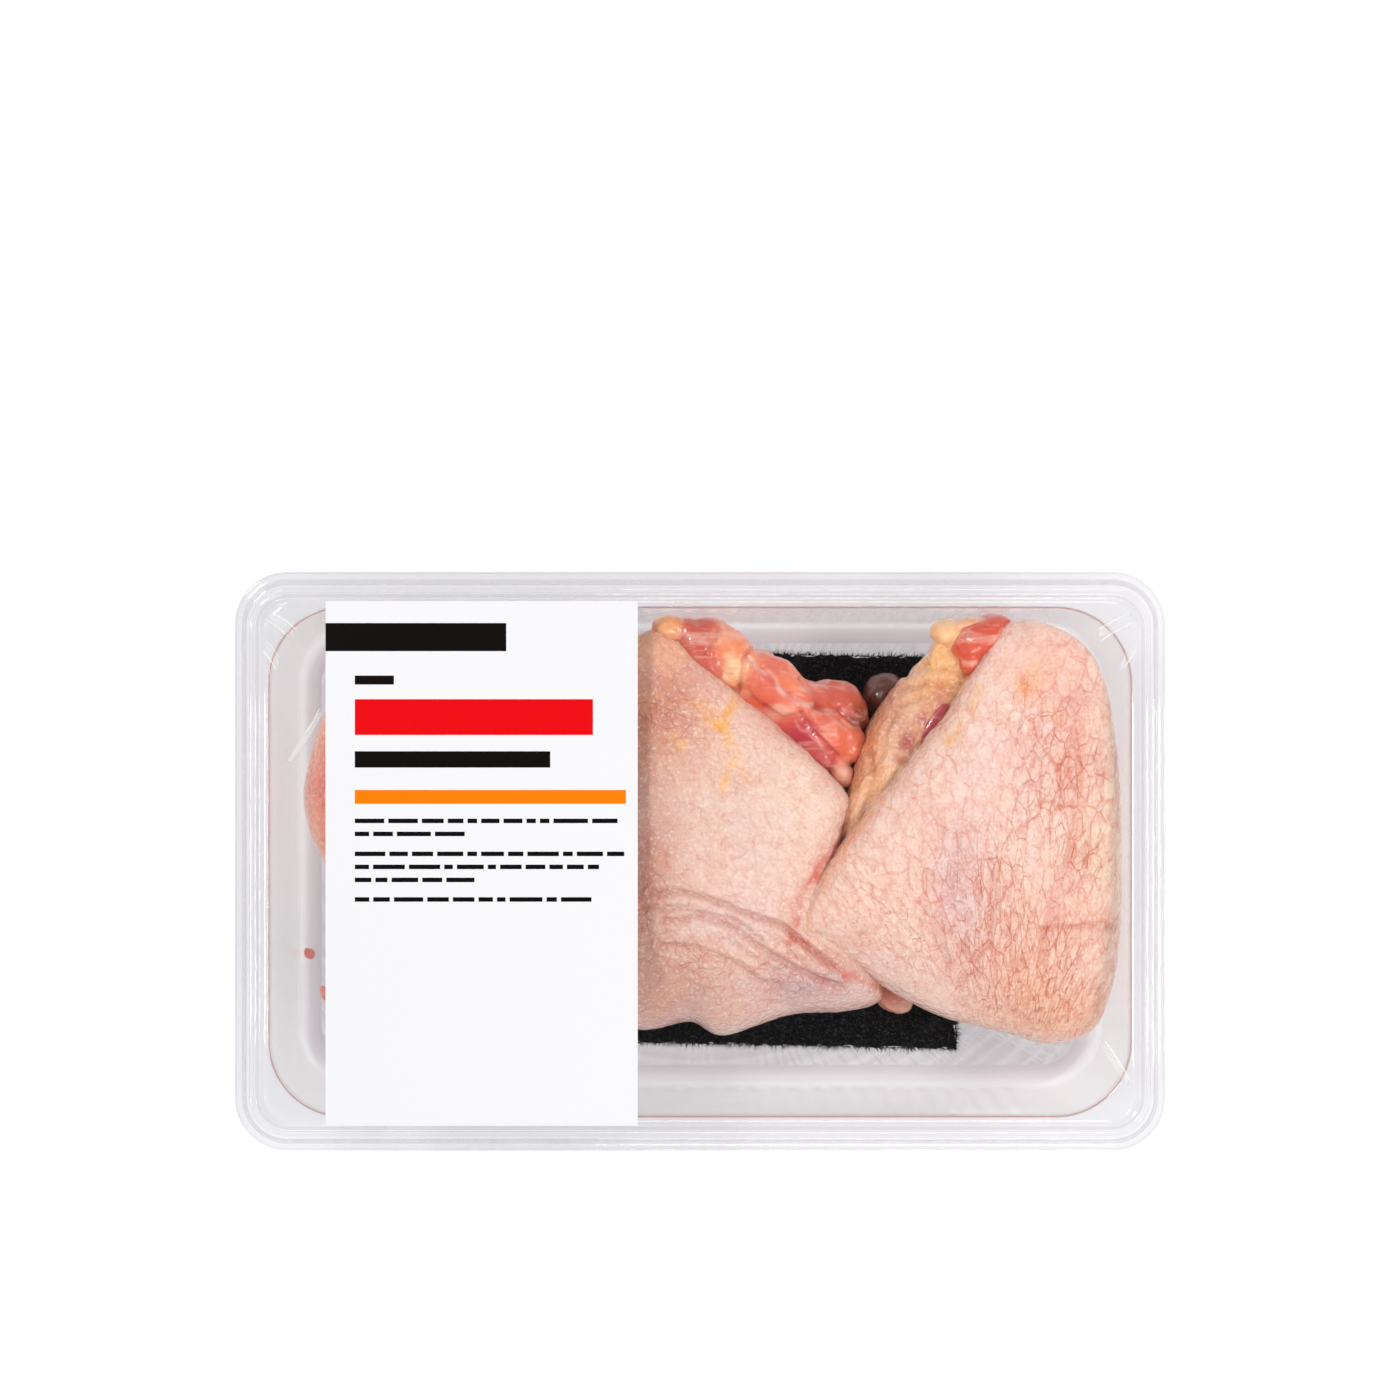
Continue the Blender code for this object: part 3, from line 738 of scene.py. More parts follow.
label = {
    "left": -92.0 * mm, "right": -15.3 * mm, "top": 64.1 * mm, "bottom": -64.8 * mm,
    "thickness": 0.18 * mm,
    "ink": 0.02 * mm,
    "indent": -84.8 * mm,        # where the print starts
    # rows of print as (first and last x, first and last y) in millimetres
    "blackBar": (-92.0, -47.6, 51.8, 58.7),
    "rule": (-84.8, -18.2, 14.3, 17.7),
    "heading": (-84.8, -26.3, 31.2, 40.0),
    "subheading": (-84.8, -36.8, 23.2, 27.2),
    "word": (-84.8, -75.2, 43.6, 45.8),
    "lines": ((10.1, -19.0), (6.9, -57.8), (2.0, -18.6), (-1.2, -24.8), (-4.4, -55.4), (-9.2, -24.8)),
    "dash": (2.0, 8.5),          # the shortest and longest word
    "gap": 1.0,                  # between words
    "least": 1.5,                # room that a word needs at the end of its line
    "strokeHalf": 0.55,
}
labelHeight = ledgeHeight + film["clear"] + film["thickness"] + 0.05 * mm


# A flat block: eight points and six quads, from two corners in plan, a bottom and a thickness
def flatBlock(x0, x1, y0, y1, bottom, thickness):
    plan = np.array([(x0, y0), (x1, y0), (x1, y1), (x0, y1)])
    low = np.column_stack([plan, np.full(4, bottom)])
    high = np.column_stack([plan, np.full(4, bottom + thickness)])
    faces = np.array([
        (3, 2, 1, 0), (4, 5, 6, 7), (0, 1, 5, 4), (1, 2, 6, 5), (2, 3, 7, 6), (3, 0, 4, 7),
    ])
    return np.concatenate([low, high]), [faces]


# Printed areas as one piece: a thin block of ink on the label for each box in plan
def inkBlocks(name, boxes, material):
    bottom = labelHeight + label["thickness"]
    parts = [flatBlock(*(side * mm for side in box), bottom, label["ink"]) for box in boxes]
    mesh = joinParts(name, parts)
    mesh.shade_flat()
    return addPiece(mesh, material, "white_paper")


# Print as plain shapes: a bar for each heading and short dashes for the lines
def makeLabel(paper, black, red, orange):
    mesh = meshFrom("labelPaper", *flatBlock(
        label["left"], label["right"], label["bottom"], label["top"], labelHeight, label["thickness"]))
    mesh.shade_flat()
    addPiece(mesh, paper, "white_paper", "label")
    inkBlocks("labelBar", [label["blackBar"]], black)
    inkBlocks("labelRule", [label["rule"]], orange)
    inkBlocks("labelHeading", [label["heading"]], red)
    outlines = [label["subheading"], label["word"]]
    draw = np.random.default_rng(5)
    for height, end in label["lines"]:
        x = label["indent"] / mm
        while x < end - label["least"]:
            length = min(draw.uniform(*label["dash"]), end - x)
            outlines.append((x, x + length, height - label["strokeHalf"], height + label["strokeHalf"]))
            x += length + label["gap"]
    inkBlocks("labelSmallPrint", outlines, black)


# Absorbent pad

pad = {
    "length": 130.0 * mm, "width": 100.4 * mm, "thickness": 2.5 * mm,
    "centre": (1.8 * mm, 1.6 * mm, 0.0), "turn": 1.2,       # clockwise, in degrees
    "rough": 0.6 * mm, "fibres": 5200,
    # of the fibres, in millimetres: half the width, the lowest and highest root above the floor of
    # the pad, and the shortest and longest
    "fibreHalf": 0.085, "fibreRoots": (0.4, 2.3), "fibreLengths": (0.5, 2.2),
    "fibreLean": (1.1, 0.35),    # how much they lean outwards, and how little upwards
}
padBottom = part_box("absorbent_pad")[0][2]


# Points about the pad's own middle, turned and moved to where it lies
def layOnFloor(points):
    return turnAbout(points, pad["turn"]) + np.array(pad["centre"])


# The pad: its outline shrunk in steps to the middle on both faces, with a rounded edge between
# them, roughened by noise sideways at the edge and upwards on the upper face
def makePad(material):
    side = np.linspace(-1, 1, 161)[:-1]
    corners = [(1, side), (-side, 1), (-1, -side), (side, -1)]
    half = np.array([pad["length"], pad["width"]]) / 2
    rim = half * np.concatenate([np.column_stack(np.broadcast_arrays(x, y)) for x, y in corners])
    edge = pad["thickness"] / 2
    steps = [(scale, -1.0) for scale in (0.0, 0.2, 0.4, 0.6, 0.8, 0.9, 0.96)]
    steps += [(1 - inset * edge / half, height) for inset, height in
              ((1.2, -1.0), (0.6, -0.92), (0.25, -0.75), (0.05, -0.4), (0.0, 0.0))]
    lower = np.array([np.column_stack([rim * scale, np.full(len(rim), height * edge)])
                      for scale, height in steps])
    flat = np.concatenate([lower, lower[:-1][::-1] * (1, 1, -1)])
    grid = layOnFloor(flat + np.array([0, 0, padBottom + edge]))
    felt = latticeNoise(grid, 1.4 * mm, 21) + 0.6 * latticeNoise(grid, 4.5 * mm, 22)
    nearEdge = np.linalg.norm(flat[..., :2] / half, ord=np.inf, axis=-1) > 0.93
    grid[..., :2] += (felt * pad["rough"] * nearEdge)[..., None] * np.sign(flat[..., :2])
    grid[..., 2] += np.where(grid[..., 2] > padBottom + edge, 0.5 * felt * pad["rough"], 0)
    return addPiece(closedForm("absorbentPad", grid), material, "black_felt", "absorbent_pad")


# Loose fibres along the pad's edge: thin three-sided needles that lean out at random
def makeFibres(material):
    draw = np.random.default_rng(31)
    count = pad["fibres"]
    half = np.array([pad["length"], pad["width"]]) / 2
    side = draw.integers(0, 4, count)
    spot = draw.uniform(-1, 1, count)
    x = np.where(side == 0, 1, np.where(side == 2, -1, spot)) * half[0]
    y = np.where(side == 1, 1, np.where(side == 3, -1, spot)) * half[1]
    root = np.column_stack([x, y, padBottom + draw.uniform(*pad["fibreRoots"], count) * mm])
    lean = draw.normal(0, 1, (count, 3))
    outwards, upwards = pad["fibreLean"]
    lean[:, :2] += np.column_stack([x, y]) / half * outwards
    lean[:, 2] *= upwards
    lean /= np.linalg.norm(lean, axis=1, keepdims=True)
    tip = root + lean * draw.uniform(*pad["fibreLengths"], (count, 1)) * mm
    tip[:, 2] = np.maximum(tip[:, 2], padBottom)
    side1 = np.cross(lean, (0.0, 0.0, 1.0)) * pad["fibreHalf"] * mm
    side2 = np.cross(lean, side1 / mm) * mm
    points = layOnFloor(np.stack([root + side1, root - side1 + side2, root - side1 - side2, tip], axis=1))
    first = np.arange(count)[:, None, None] * 4
    faces = first + np.array([(2, 1, 0), (1, 3, 0), (2, 3, 1), (0, 3, 2)])
    mesh = meshFrom("padFibres", points.reshape(-1, 3), [faces.reshape(-1, 3)])
    return addPiece(mesh, material, "black_felt")


# Thighs

# A closed curve that runs smoothly and anticlockwise through its points: a Catmull-Rom curve, in
# metres
def smoothLoop(outline, steps):
    knots = np.array(outline, dtype=float) * mm
    x, y = knots[:, 0], knots[:, 1]
    if np.sum(x * np.roll(y, -1) - y * np.roll(x, -1)) < 0:
        knots = knots[::-1]
    along = np.arange(steps) * len(knots) / steps
    index = along.astype(int)
    t = (along - index)[:, None]
    a, b, c, d = (knots[(index + shift) % len(knots)] for shift in (-1, 0, 1, 2))
    return 0.5 * (2 * b + (c - a) * t + (2 * a - 5 * b + 4 * c - d) * t ** 2
                  + (3 * b - a - 3 * c + d) * t ** 3)


# Angles from -90 at the underside to 90 at the crown that give even steps along the section of
# a form of this width and height
def evenAngles(rows, power, width, below, above):
    fine = np.linspace(-90, 90, 4001)
    turn = np.radians(np.abs(fine))
    reach = np.cos(turn) ** power * width
    rise = np.sin(turn) ** power * np.where(fine < 0, -below, above)
    length = np.concatenate([[0], np.cumsum(np.hypot(np.diff(reach), np.diff(rise)))])
    even = np.interp(np.linspace(0, length[-1], rows), length, fine)
    even[0], even[-1] = -90, 90
    return even


# A thigh's form: each ring is its outline drawn in towards the centre by the cosine of an angle
# and raised from the rim by its sine, both to a power that makes the section full and round.
# Where the form opens towards the cut, a higher power gives the skin's edge a crisper bend
def thighForm(form, columns, rows):
    loop = smoothLoop(form["outline"], columns)
    centre = np.array(form["centre"]) * mm
    out = loop[:, :2] - centre
    tatter = latticeNoise(loop, 4 * mm, 91) + 0.6 * latticeNoise(loop, 1.6 * mm, 92)
    facing = np.cos(np.arctan2(out[:, 1], out[:, 0]) - form.get("openSide", 0.0))
    share = np.clip((facing - 0.1) / 0.6, 0, 1) if "openSide" in form else np.zeros(columns)
    shrink = form.get("ragged", 0.0) * mm * (tatter - 0.4) / np.linalg.norm(out, axis=1)
    out = out * (1 + shrink * share)[:, None]
    power = 2 / (form["roundness"] + (form.get("openRoundness", 2.6) - form["roundness"]) * share)
    below = loop[:, 2].mean() - form["base"] * mm
    above = form["crown"] * mm - loop[:, 2].mean()
    angles = evenAngles(rows, 2 / form["roundness"], np.linalg.norm(out, axis=1).mean(), below, above)
    turn = np.radians(np.abs(angles))[:, None]
    reach = np.cos(turn) ** power
    rise = np.sin(turn) ** power
    flat = centre + out[None] * reach[..., None]
    pole = np.where(angles[:, None] > 0, crownHeight(form, flat), form["base"] * mm)
    height = loop[:, 2] + (pole - loop[:, 2]) * rise
    return np.concatenate([flat, height[..., None]], axis=-1), angles


# The crown's height over a place: a level with round swells and hollows
def crownHeight(form, flat):
    height = np.full(flat.shape[:-1], form["crown"] * mm)
    for x, y, radius, rise in form.get("swells", ()):
        away = np.linalg.norm(flat - np.array([x, y]) * mm, axis=-1) / (radius * mm)
        height += rise * mm * np.exp(-away ** 2)
    return height


# Colours over a form: a base colour with soft round patches of others
def patchTones(points, base, patches):
    tones = np.tile(fromHex(base), (*points.shape[:-1], 1))
    flat = points[..., :2] + 2.2 * mm * noiseVector(points, 9 * mm, (41, 42))
    for x, y, radius, colour, strength in patches:
        tones = tinted(tones, colour, strength * np.exp(-planReach(flat, x, y, radius) ** 2))
    return tones


# Colours with soft lines of another colour drawn over them, wandering a little
def streakTones(tones, points, streaks):
    wander = noiseVector(points, 3 * mm, (45, 46, 47))
    patchy = np.clip(0.7 + 0.6 * latticeNoise(points, 2.2 * mm, 48), 0, 1)
    for stations, width, colour, strength in streaks:
        away = lineDistance(points + 1.1 * mm * wander, stations) / (width * mm)
        tones = tinted(tones, colour, strength * patchy * np.exp(-away ** 2))
    return tones


# Where each point lies in the net of creases, in cells: across and along the creases, which
# either run one way or meet at a focus outside the form, and upwards
def weaveOf(points, look):
    flat = points[..., :2] / mm
    if "focus" in look:
        flat = flat - np.array(look["focus"])
        across = np.arctan2(flat[..., 0], flat[..., 1]) * look["focusRadius"]
        along = np.hypot(flat[..., 0], flat[..., 1])
    else:
        turned = turnAbout(points / mm, look["netTurn"])
        across, along = turned[..., 0], turned[..., 1]
    wide, long_ = look["cell"]
    return np.stack([across / wide, along / long_, points[..., 2] / mm / wide], axis=-1)


# Relief of chicken skin: slow swells, the net's longest creases and named folds. Returns the
# rise, the strength of the net and how deep in a crease each point lies
def skinRelief(points, look):
    wander = noiseVector(points, 5 * mm, (51, 52, 53))
    strength = np.full(points.shape[:-1], look["netLeast"])
    for x, y, radius, more in look["netPatches"]:
        strength = strength + more * np.exp(-planReach(points, x, y, radius) ** 2)
    strength = np.clip(strength * (1 + 0.5 * latticeNoise(points, 12 * mm, 54)), 0, 1.15)
    cells = weaveOf(points, look) / 2.6 + 0.22 * wander
    edge = cellNoise(cells, 1.0, look["seed"])
    crease = np.exp(-(edge / 0.13) ** 2)
    swell = 0.8 * latticeNoise(points, 24 * mm, look["seed"] + 2)
    swell += 0.35 * latticeNoise(points, 10 * mm, look["seed"] + 3)
    pebbles = 0.10 * latticeNoise(points, 1.9 * mm, look["seed"] + 4)
    rise = mm * (look["swell"] * swell + pebbles - look["netDepth"] * strength * crease)
    depth = 0.7 * strength * crease
    for stations, width, drop, ridge in look["folds"]:
        away = lineDistance(points + 0.8 * mm * wander, stations) / (width * mm)
        valley = np.exp(-away ** 2)
        rise -= drop * mm * valley
        rise += ridge * mm * np.exp(-(away - 1.9) ** 2)
        depth = np.maximum(depth, 0.9 * valley * min(1.0, drop))
    return rise, strength, np.clip(depth, 0, 1)


# Points turned clockwise about the upright axis
def turnAbout(points, degrees):
    turn = math.radians(degrees)
    x = points[..., 0] * math.cos(turn) + points[..., 1] * math.sin(turn)
    y = points[..., 1] * math.cos(turn) - points[..., 0] * math.sin(turn)
    return np.stack([x, y, points[..., 2]], axis=-1)


# A thigh's skin: its form moved along its normals by the relief, kept below the film, with its
# colours, and its place in the net of creases, stored for the material
def makeSkin(name, form, look, material, node, columns=520, rows=180):
    grid, angles = thighForm(form, columns, rows)
    normals = gridNormals(grid)
    rise, strength, depth = skinRelief(grid, look)
    rise = rise * np.clip((90 - np.abs(angles)) / 4, 0, 1)[:, None]
    moved = grid + normals * rise[..., None]
    moved[..., 2] = np.minimum(moved[..., 2], ledgeHeight - 0.25 * mm)
    tones = patchTones(grid, look["base"], look["patches"])
    for size, seed, colour in ((13, 61, "#f6d9cc"), (8, 62, "#e39d8c"), (5, 63, "#f3bb8f")):
        share = 0.34 * np.clip(latticeNoise(grid, size * mm, look["seed"] + seed), 0, 1)
        tones = tinted(tones, colour, share)
    tones = streakTones(tones, grid, look.get("streaks", ()))
    # creases and fold valleys tinted darker: partly the skin's own pink creases, partly painted shade
    tones = tinted(tones, look["crease"], look["creaseToneAndShade"] * depth)
    # paler along the open cut edge: partly the thin skin's own paler edge, partly a painted highlight
    offset = grid[..., :2] - np.array(form["centre"]) * mm
    facing = np.cos(np.arctan2(offset[..., 1], offset[..., 0]) - form.get("openSide", 0.0))
    cutEdge = np.exp(-((angles - 2) / 6) ** 2)[:, None] * np.clip((facing - 0.2) / 0.4, 0, 1)
    tones = tinted(tones, "#fff0e4", look.get("cutPaleAndHighlight", 0.0) * cutEdge)
    tones = tinted(tones, "#e0857a", np.clip((-30 - angles) / 12, 0, 1)[:, None])
    mesh = closedForm(name, moved)
    storeLayer(mesh, "tone", onClosedForm(tones))
    storeLayer(mesh, "net", onClosedForm(strength))
    storeLayer(mesh, "weave", onClosedForm(weaveOf(grid, look)))
    return addPiece(mesh, material, "chicken_skin", node)


thighBase = 3.7     # underside of the thighs, on the pad, in millimetres

middleForm = {
    "outline": (
        (-15.2, 56.2, 37), (-10.7, 57.4, 38), (-3.0, 52.7, 37), (8.7, 42.3, 35), (19.7, 33.6, 33),
        (31.5, 22.8, 31), (37.4, 15.7, 29), (36.3, 7.1, 25), (36.5, -5.8, 20), (43.0, -23.7, 16),
        (46.2, -35.7, 12), (36.8, -39.3, 12), (22.7, -40.3, 12), (6.1, -45.6, 10),
        (-2.8, -42.1, 12), (-15.6, -44.2, 12), (-35.9, -39.7, 14), (-49.7, -21.1, 18),
        (-53.4, 4.4, 20), (-45.6, 32.2, 24), (-30.3, 49.8, 30),
    ),
    "centre": (-5.0, 5.0), "crown": 43.0, "base": thighBase, "roundness": 2.6,
    "openSide": math.radians(52), "openRoundness": 4.2, "ragged": 0.35,
    "swells": ((5.0, 20.0, 26.0, 1.5), (28.0, -20.0, 16.0, -2.0)),
}

middleSkinLook = {
    "seed": 100, "base": "#f9d5c5", "crease": "#c07e74", "creaseToneAndShade": 0.55, "cutPaleAndHighlight": 0.6,
    "patches": (
        (-10.0, 38.0, (12, 18), "#da8560", 0.85), (8.0, 8.0, (16, 18), "#efd2c5", 0.8),
        # the darker strip at (-14, -5), beside the label's edge, is the label's painted shadow
        (28.0, 16.0, (10, 9), "#ffe6d6", 0.9), (-14.0, -5.0, (9, 40), "#c2826f", 0.85),
        (-5.0, -35.0, (18, 14), "#c48c76", 0.75), (-12.5, 53.5, (7, 5), "#ffb482", 0.8),
        (29.0, -32.0, (14, 7), "#c29ea6", 0.85), (8.0, -15.0, (16, 6), "#eed4d0", 0.6),
    ),
    "streaks": (
        (((-0.2, 38.6), (2.7, 36.6), (5.1, 33.6), (6.9, 36.6), (8.2, 38.6)), 1.7, "#ffb85c", 1.0),
        (((2.0, 34.6), (4.4, 33.4), (6.0, 34.8)), 1.6, "#ffb452", 1.0),
        (((5.8, 32.7), (8.9, 27.4), (9.3, 25.2), (6.6, 21.3), (5.1, 18.3)), 1.3, "#ffc67c", 0.95),
        (((9.3, 25.2), (12.5, 19.5)), 1.0, "#fbd0a0", 0.8),
        (((-6.0, 30.5), (-4.6, 28.5)), 1.4, "#f9c080", 0.8),
        (((4.0, 24.0), (-3.0, 20.0)), 0.7, "#f6cba4", 0.4),
        # warm red lines along the seam where the right thigh lies on this skin: painted contact shadow
        (((37.4, 6.0), (30.2, -1.0), (23.8, -11.4), (23.0, -19.4)), 1.5, "#d8502c", 0.9),
        (((23.0, -19.4), (28.0, -21.8), (37.5, -28.7), (46.0, -34.0)), 1.1, "#d8603c", 0.7),
    ),
    "netLeast": 0.36, "netDepth": 0.2, "netTurn": 55, "cell": (1.2, 2.0),
    "netPatches": (
        (-12.0, -25.0, (22, 20), 0.4), (25.0, -28.0, (16, 10), 0.3), (-8.0, 38.0, (12, 16), 0.35),
    ),
    "swell": 0.45,
    "folds": (
        (((-12.0, -7.5), (-2.5, -8.0), (6.5, -10.5), (13.8, -14.4), (21.9, -17.3), (26.3, -21.2),
          (32.5, -26.5)), 0.8, 1.2, 0.5),
        (((-9.0, -14.8), (-0.3, -13.8), (8.5, -17.0), (16.0, -22.0), (25.0, -27.8), (35.0, -32.0)),
         0.9, 1.1, 0.5),
        (((-14.0, -11.0), (-3.0, -12.0), (7.3, -14.6), (14.8, -19.0)), 0.7, 0.8, 0.3),
        (((-10.0, -21.0), (0.0, -22.5), (10.0, -26.5), (20.0, -32.0)), 0.8, 0.8, 0.3),
    ),
}

rightForm = {
    "outline": (
        (77.3, 59.5, 38), (85.5, 58.9, 41), (94.8, 53.6, 41), (100.3, 44.5, 40), (103.2, 31.1, 38),
        (104.5, 15.0, 38), (104.8, -2.5, 37), (104.7, -17.5, 35), (103.3, -31.9, 30),
        (98.4, -43.4, 25), (88.7, -46.9, 22), (76.2, -44.2, 20), (62.5, -40.9, 17),
        (51.0, -35.6, 17), (38.1, -27.1, 22), (28.6, -20.2, 26), (24.4, -18.4, 28),
        (24.9, -11.8, 28), (30.8, -1.8, 31), (43.2, 14.6, 33), (56.9, 31.8, 34),
        (66.2, 45.0, 36), (72.6, 55.7, 37),
    ),
    "centre": (74.0, 5.0), "crown": 46.0, "base": thighBase, "roundness": 2.6,
    "openSide": math.radians(150), "openRoundness": 3.4, "ragged": 0.35,
    "swells": ((80.0, 10.0, 24.0, 1.2), (60.0, -12.0, 16.0, -0.8)),
}

rightSkinLook = {
    "seed": 200, "base": "#ffe1d3", "crease": "#de7c64", "creaseToneAndShade": 0.6, "cutPaleAndHighlight": 0.5,
    "patches": (
        (85.0, 50.0, (14, 10), "#ffc9b6", 0.8), (97.0, 2.0, (8, 40), "#ffd6b8", 0.6),
        (103.5, 10.0, (4, 45), "#ffe8cc", 0.9),
        (36.0, -11.0, (12, 10), "#ffdac8", 0.7), (78.0, -28.0, (20, 16), "#fdc4aa", 0.7),
        (88.0, -40.0, (22, 12), "#ffc39c", 0.9), (64.0, -6.0, (6, 16), "#e9ccd0", 0.8),
        (76.0, 22.0, (12, 12), "#f8d2cc", 0.5), (92.0, 30.0, (5, 14), "#f7afa0", 0.5),
        (90.0, -12.0, (10, 16), "#fdc3ae", 0.45), (62.0, 30.0, (3, 5), "#f6c79c", 0.6),
        (80.0, 43.0, (3, 5), "#f9bd8e", 0.6),
    ),
    "streaks": (
        (((69.0, 42.5), (66.0, 36.0), (61.0, 29.5)), 1.3, "#ffd08c", 0.75),
        (((79.5, 44.5), (80.2, 42.0)), 1.2, "#f08f4c", 0.95),
        (((82.0, 47.0), (84.0, 40.0), (88.5, 34.0)), 1.2, "#ffc88c", 0.6),
        (((84.0, -16.5), (90.0, -15.2), (97.0, -15.8), (103.5, -14.8)), 0.7, "#e08a66", 0.8),
        (((26.2, -18.6), (26.4, -11.6), (32.2, -1.8), (44.2, 15.0)), 1.5, "#ffc396", 0.85),
    ),
    "netLeast": 0.45, "netDepth": 0.26, "focus": (77.0, -73.0), "focusRadius": 90.0, "cell": (1.45, 3.1),
    "netPatches": ((88.0, 0.0, (16, 44), 0.6), (72.0, -24.0, (22, 16), 0.6), (52.0, -12.0, (14, 12), 0.25)),
    "swell": 0.4,
    "folds": (
        (((63.0, 6.0), (62.0, -6.0), (58.0, -16.0), (60.0, -26.0)), 1.4, 0.55, 0.2),
        (((92.0, 40.0), (94.0, 24.0), (92.0, 8.0), (88.0, -8.0), (84.0, -24.0)), 0.9, 0.6, 0.25),
        (((84.0, -17.5), (94.0, -16.5), (104.0, -16.5)), 0.8, 0.6, 0.25),
        (((70.0, 4.0), (73.0, -8.0), (70.0, -20.0), (64.0, -32.0)), 0.9, 0.5, 0.2),
    ),
}

leftForm = {
    "outline": (
        (-100.4, 16.0, 18), (-98.6, 26.0, 18), (-94.9, 37.0, 18), (-88.0, 47.2, 19),
        (-77.0, 52.2, 20), (-65.9, 49.0, 22), (-58.6, 34.0, 22), (-58.0, 9.4, 20),
        (-63.2, -9.5, 18), (-76.5, -17.5, 16), (-88.0, -12.5, 16), (-94.9, -1.0, 17),
        (-98.8, 7.0, 18),
    ),
    "centre": (-79.0, 18.0), "crown": 38.0, "base": thighBase, "roundness": 2.6,
}

leftSkinLook = {
    "seed": 300, "base": "#ffb488", "crease": "#d98d78", "creaseToneAndShade": 0.5,
    "patches": ((-92.5, 18.0, (5.5, 16), "#ff6048", 0.9), (-100.5, 16.0, (2.5, 20), "#ffcda2", 0.8)),
    "netLeast": 0.5, "netDepth": 0.4, "netTurn": 10, "cell": (1.7, 3.0),
    "netPatches": (), "swell": 0.4, "folds": (),
}

flapForm = {
    "outline": (
        (60.0, 57.3, 34), (56.9, 51.6, 30), (51.1, 45.6, 26), (45.7, 39.0, 22), (42.0, 32.7, 20),
        (39.5, 26.1, 20), (36.7, 17.0, 21), (33.1, 9.5, 23), (33.0, 2.0, 24), (44.0, 2.1, 26),
        (56.0, 16.2, 28), (65.9, 35.3, 30), (69.6, 49.8, 34), (66.1, 57.0, 35),
    ),
    "centre": (53.0, 33.0), "crown": 37.5, "base": thighBase, "roundness": 2.6,
}

flapLook = {
    "seed": 400, "base": "#ffc896", "crease": "#c87242", "creaseToneAndShade": 0.5,
    "patches": (
        (58.0, 50.5, (8, 6.5), "#ffc680", 0.95), (47.0, 40.0, (5, 7), "#ee8c48", 0.85),
        (42.5, 29.0, (4, 8), "#e88c50", 0.85), (38.0, 19.0, (3, 7), "#ee9f6c", 0.7),
        # the pinkish grey patch at (50.5, 34.5), beside the sliver, is painted shade
        (48.0, 24.0, (3.5, 9), "#fcd8b4", 0.8), (50.5, 34.5, (4.5, 5.0), "#d49880", 0.75),
        (57.5, 41.8, (6, 2.2), "#f0a768", 0.7), (40.5, 10.0, (4, 6), "#f6d2b4", 0.8),
    ),
    "streaks": (
        (((60.6, 39.8), (56.7, 35.2), (53.4, 31.0), (50.0, 25.6)), 2.5, "#b4484c", 1.0),
    ),
    "netLeast": 0.30, "netDepth": 0.3, "netTurn": -30, "cell": (1.2, 3.4),
    "netPatches": (), "swell": 0.5,
    "folds": (
        (((51.7, 45.8), (56.0, 47.8), (59.2, 48.0), (63.4, 47.3), (66.4, 46.0)), 0.9, 0.5, 0.25),
        (((49.9, 42.1), (54.8, 43.9), (59.3, 44.3), (65.6, 43.5)), 0.9, 0.5, 0.25),
        (((49.9, 38.5), (54.8, 40.8), (57.5, 41.2)), 0.8, 0.45, 0.25),
        (((42.2, 27.1), (43.5, 24.1), (41.7, 15.1), (40.5, 8.8)), 0.9, 0.8, 0.3),
        (((46.2, 29.8), (45.2, 23.1), (43.0, 15.1)), 0.8, 0.4, 0.2),
        (((48.0, 36.0), (45.5, 31.0), (44.0, 26.0)), 0.8, 0.3, 0.15),
        (((53.0, 31.0), (50.5, 25.0), (47.5, 18.0)), 0.8, 0.3, 0.15),
    ),
}


# Bare meat

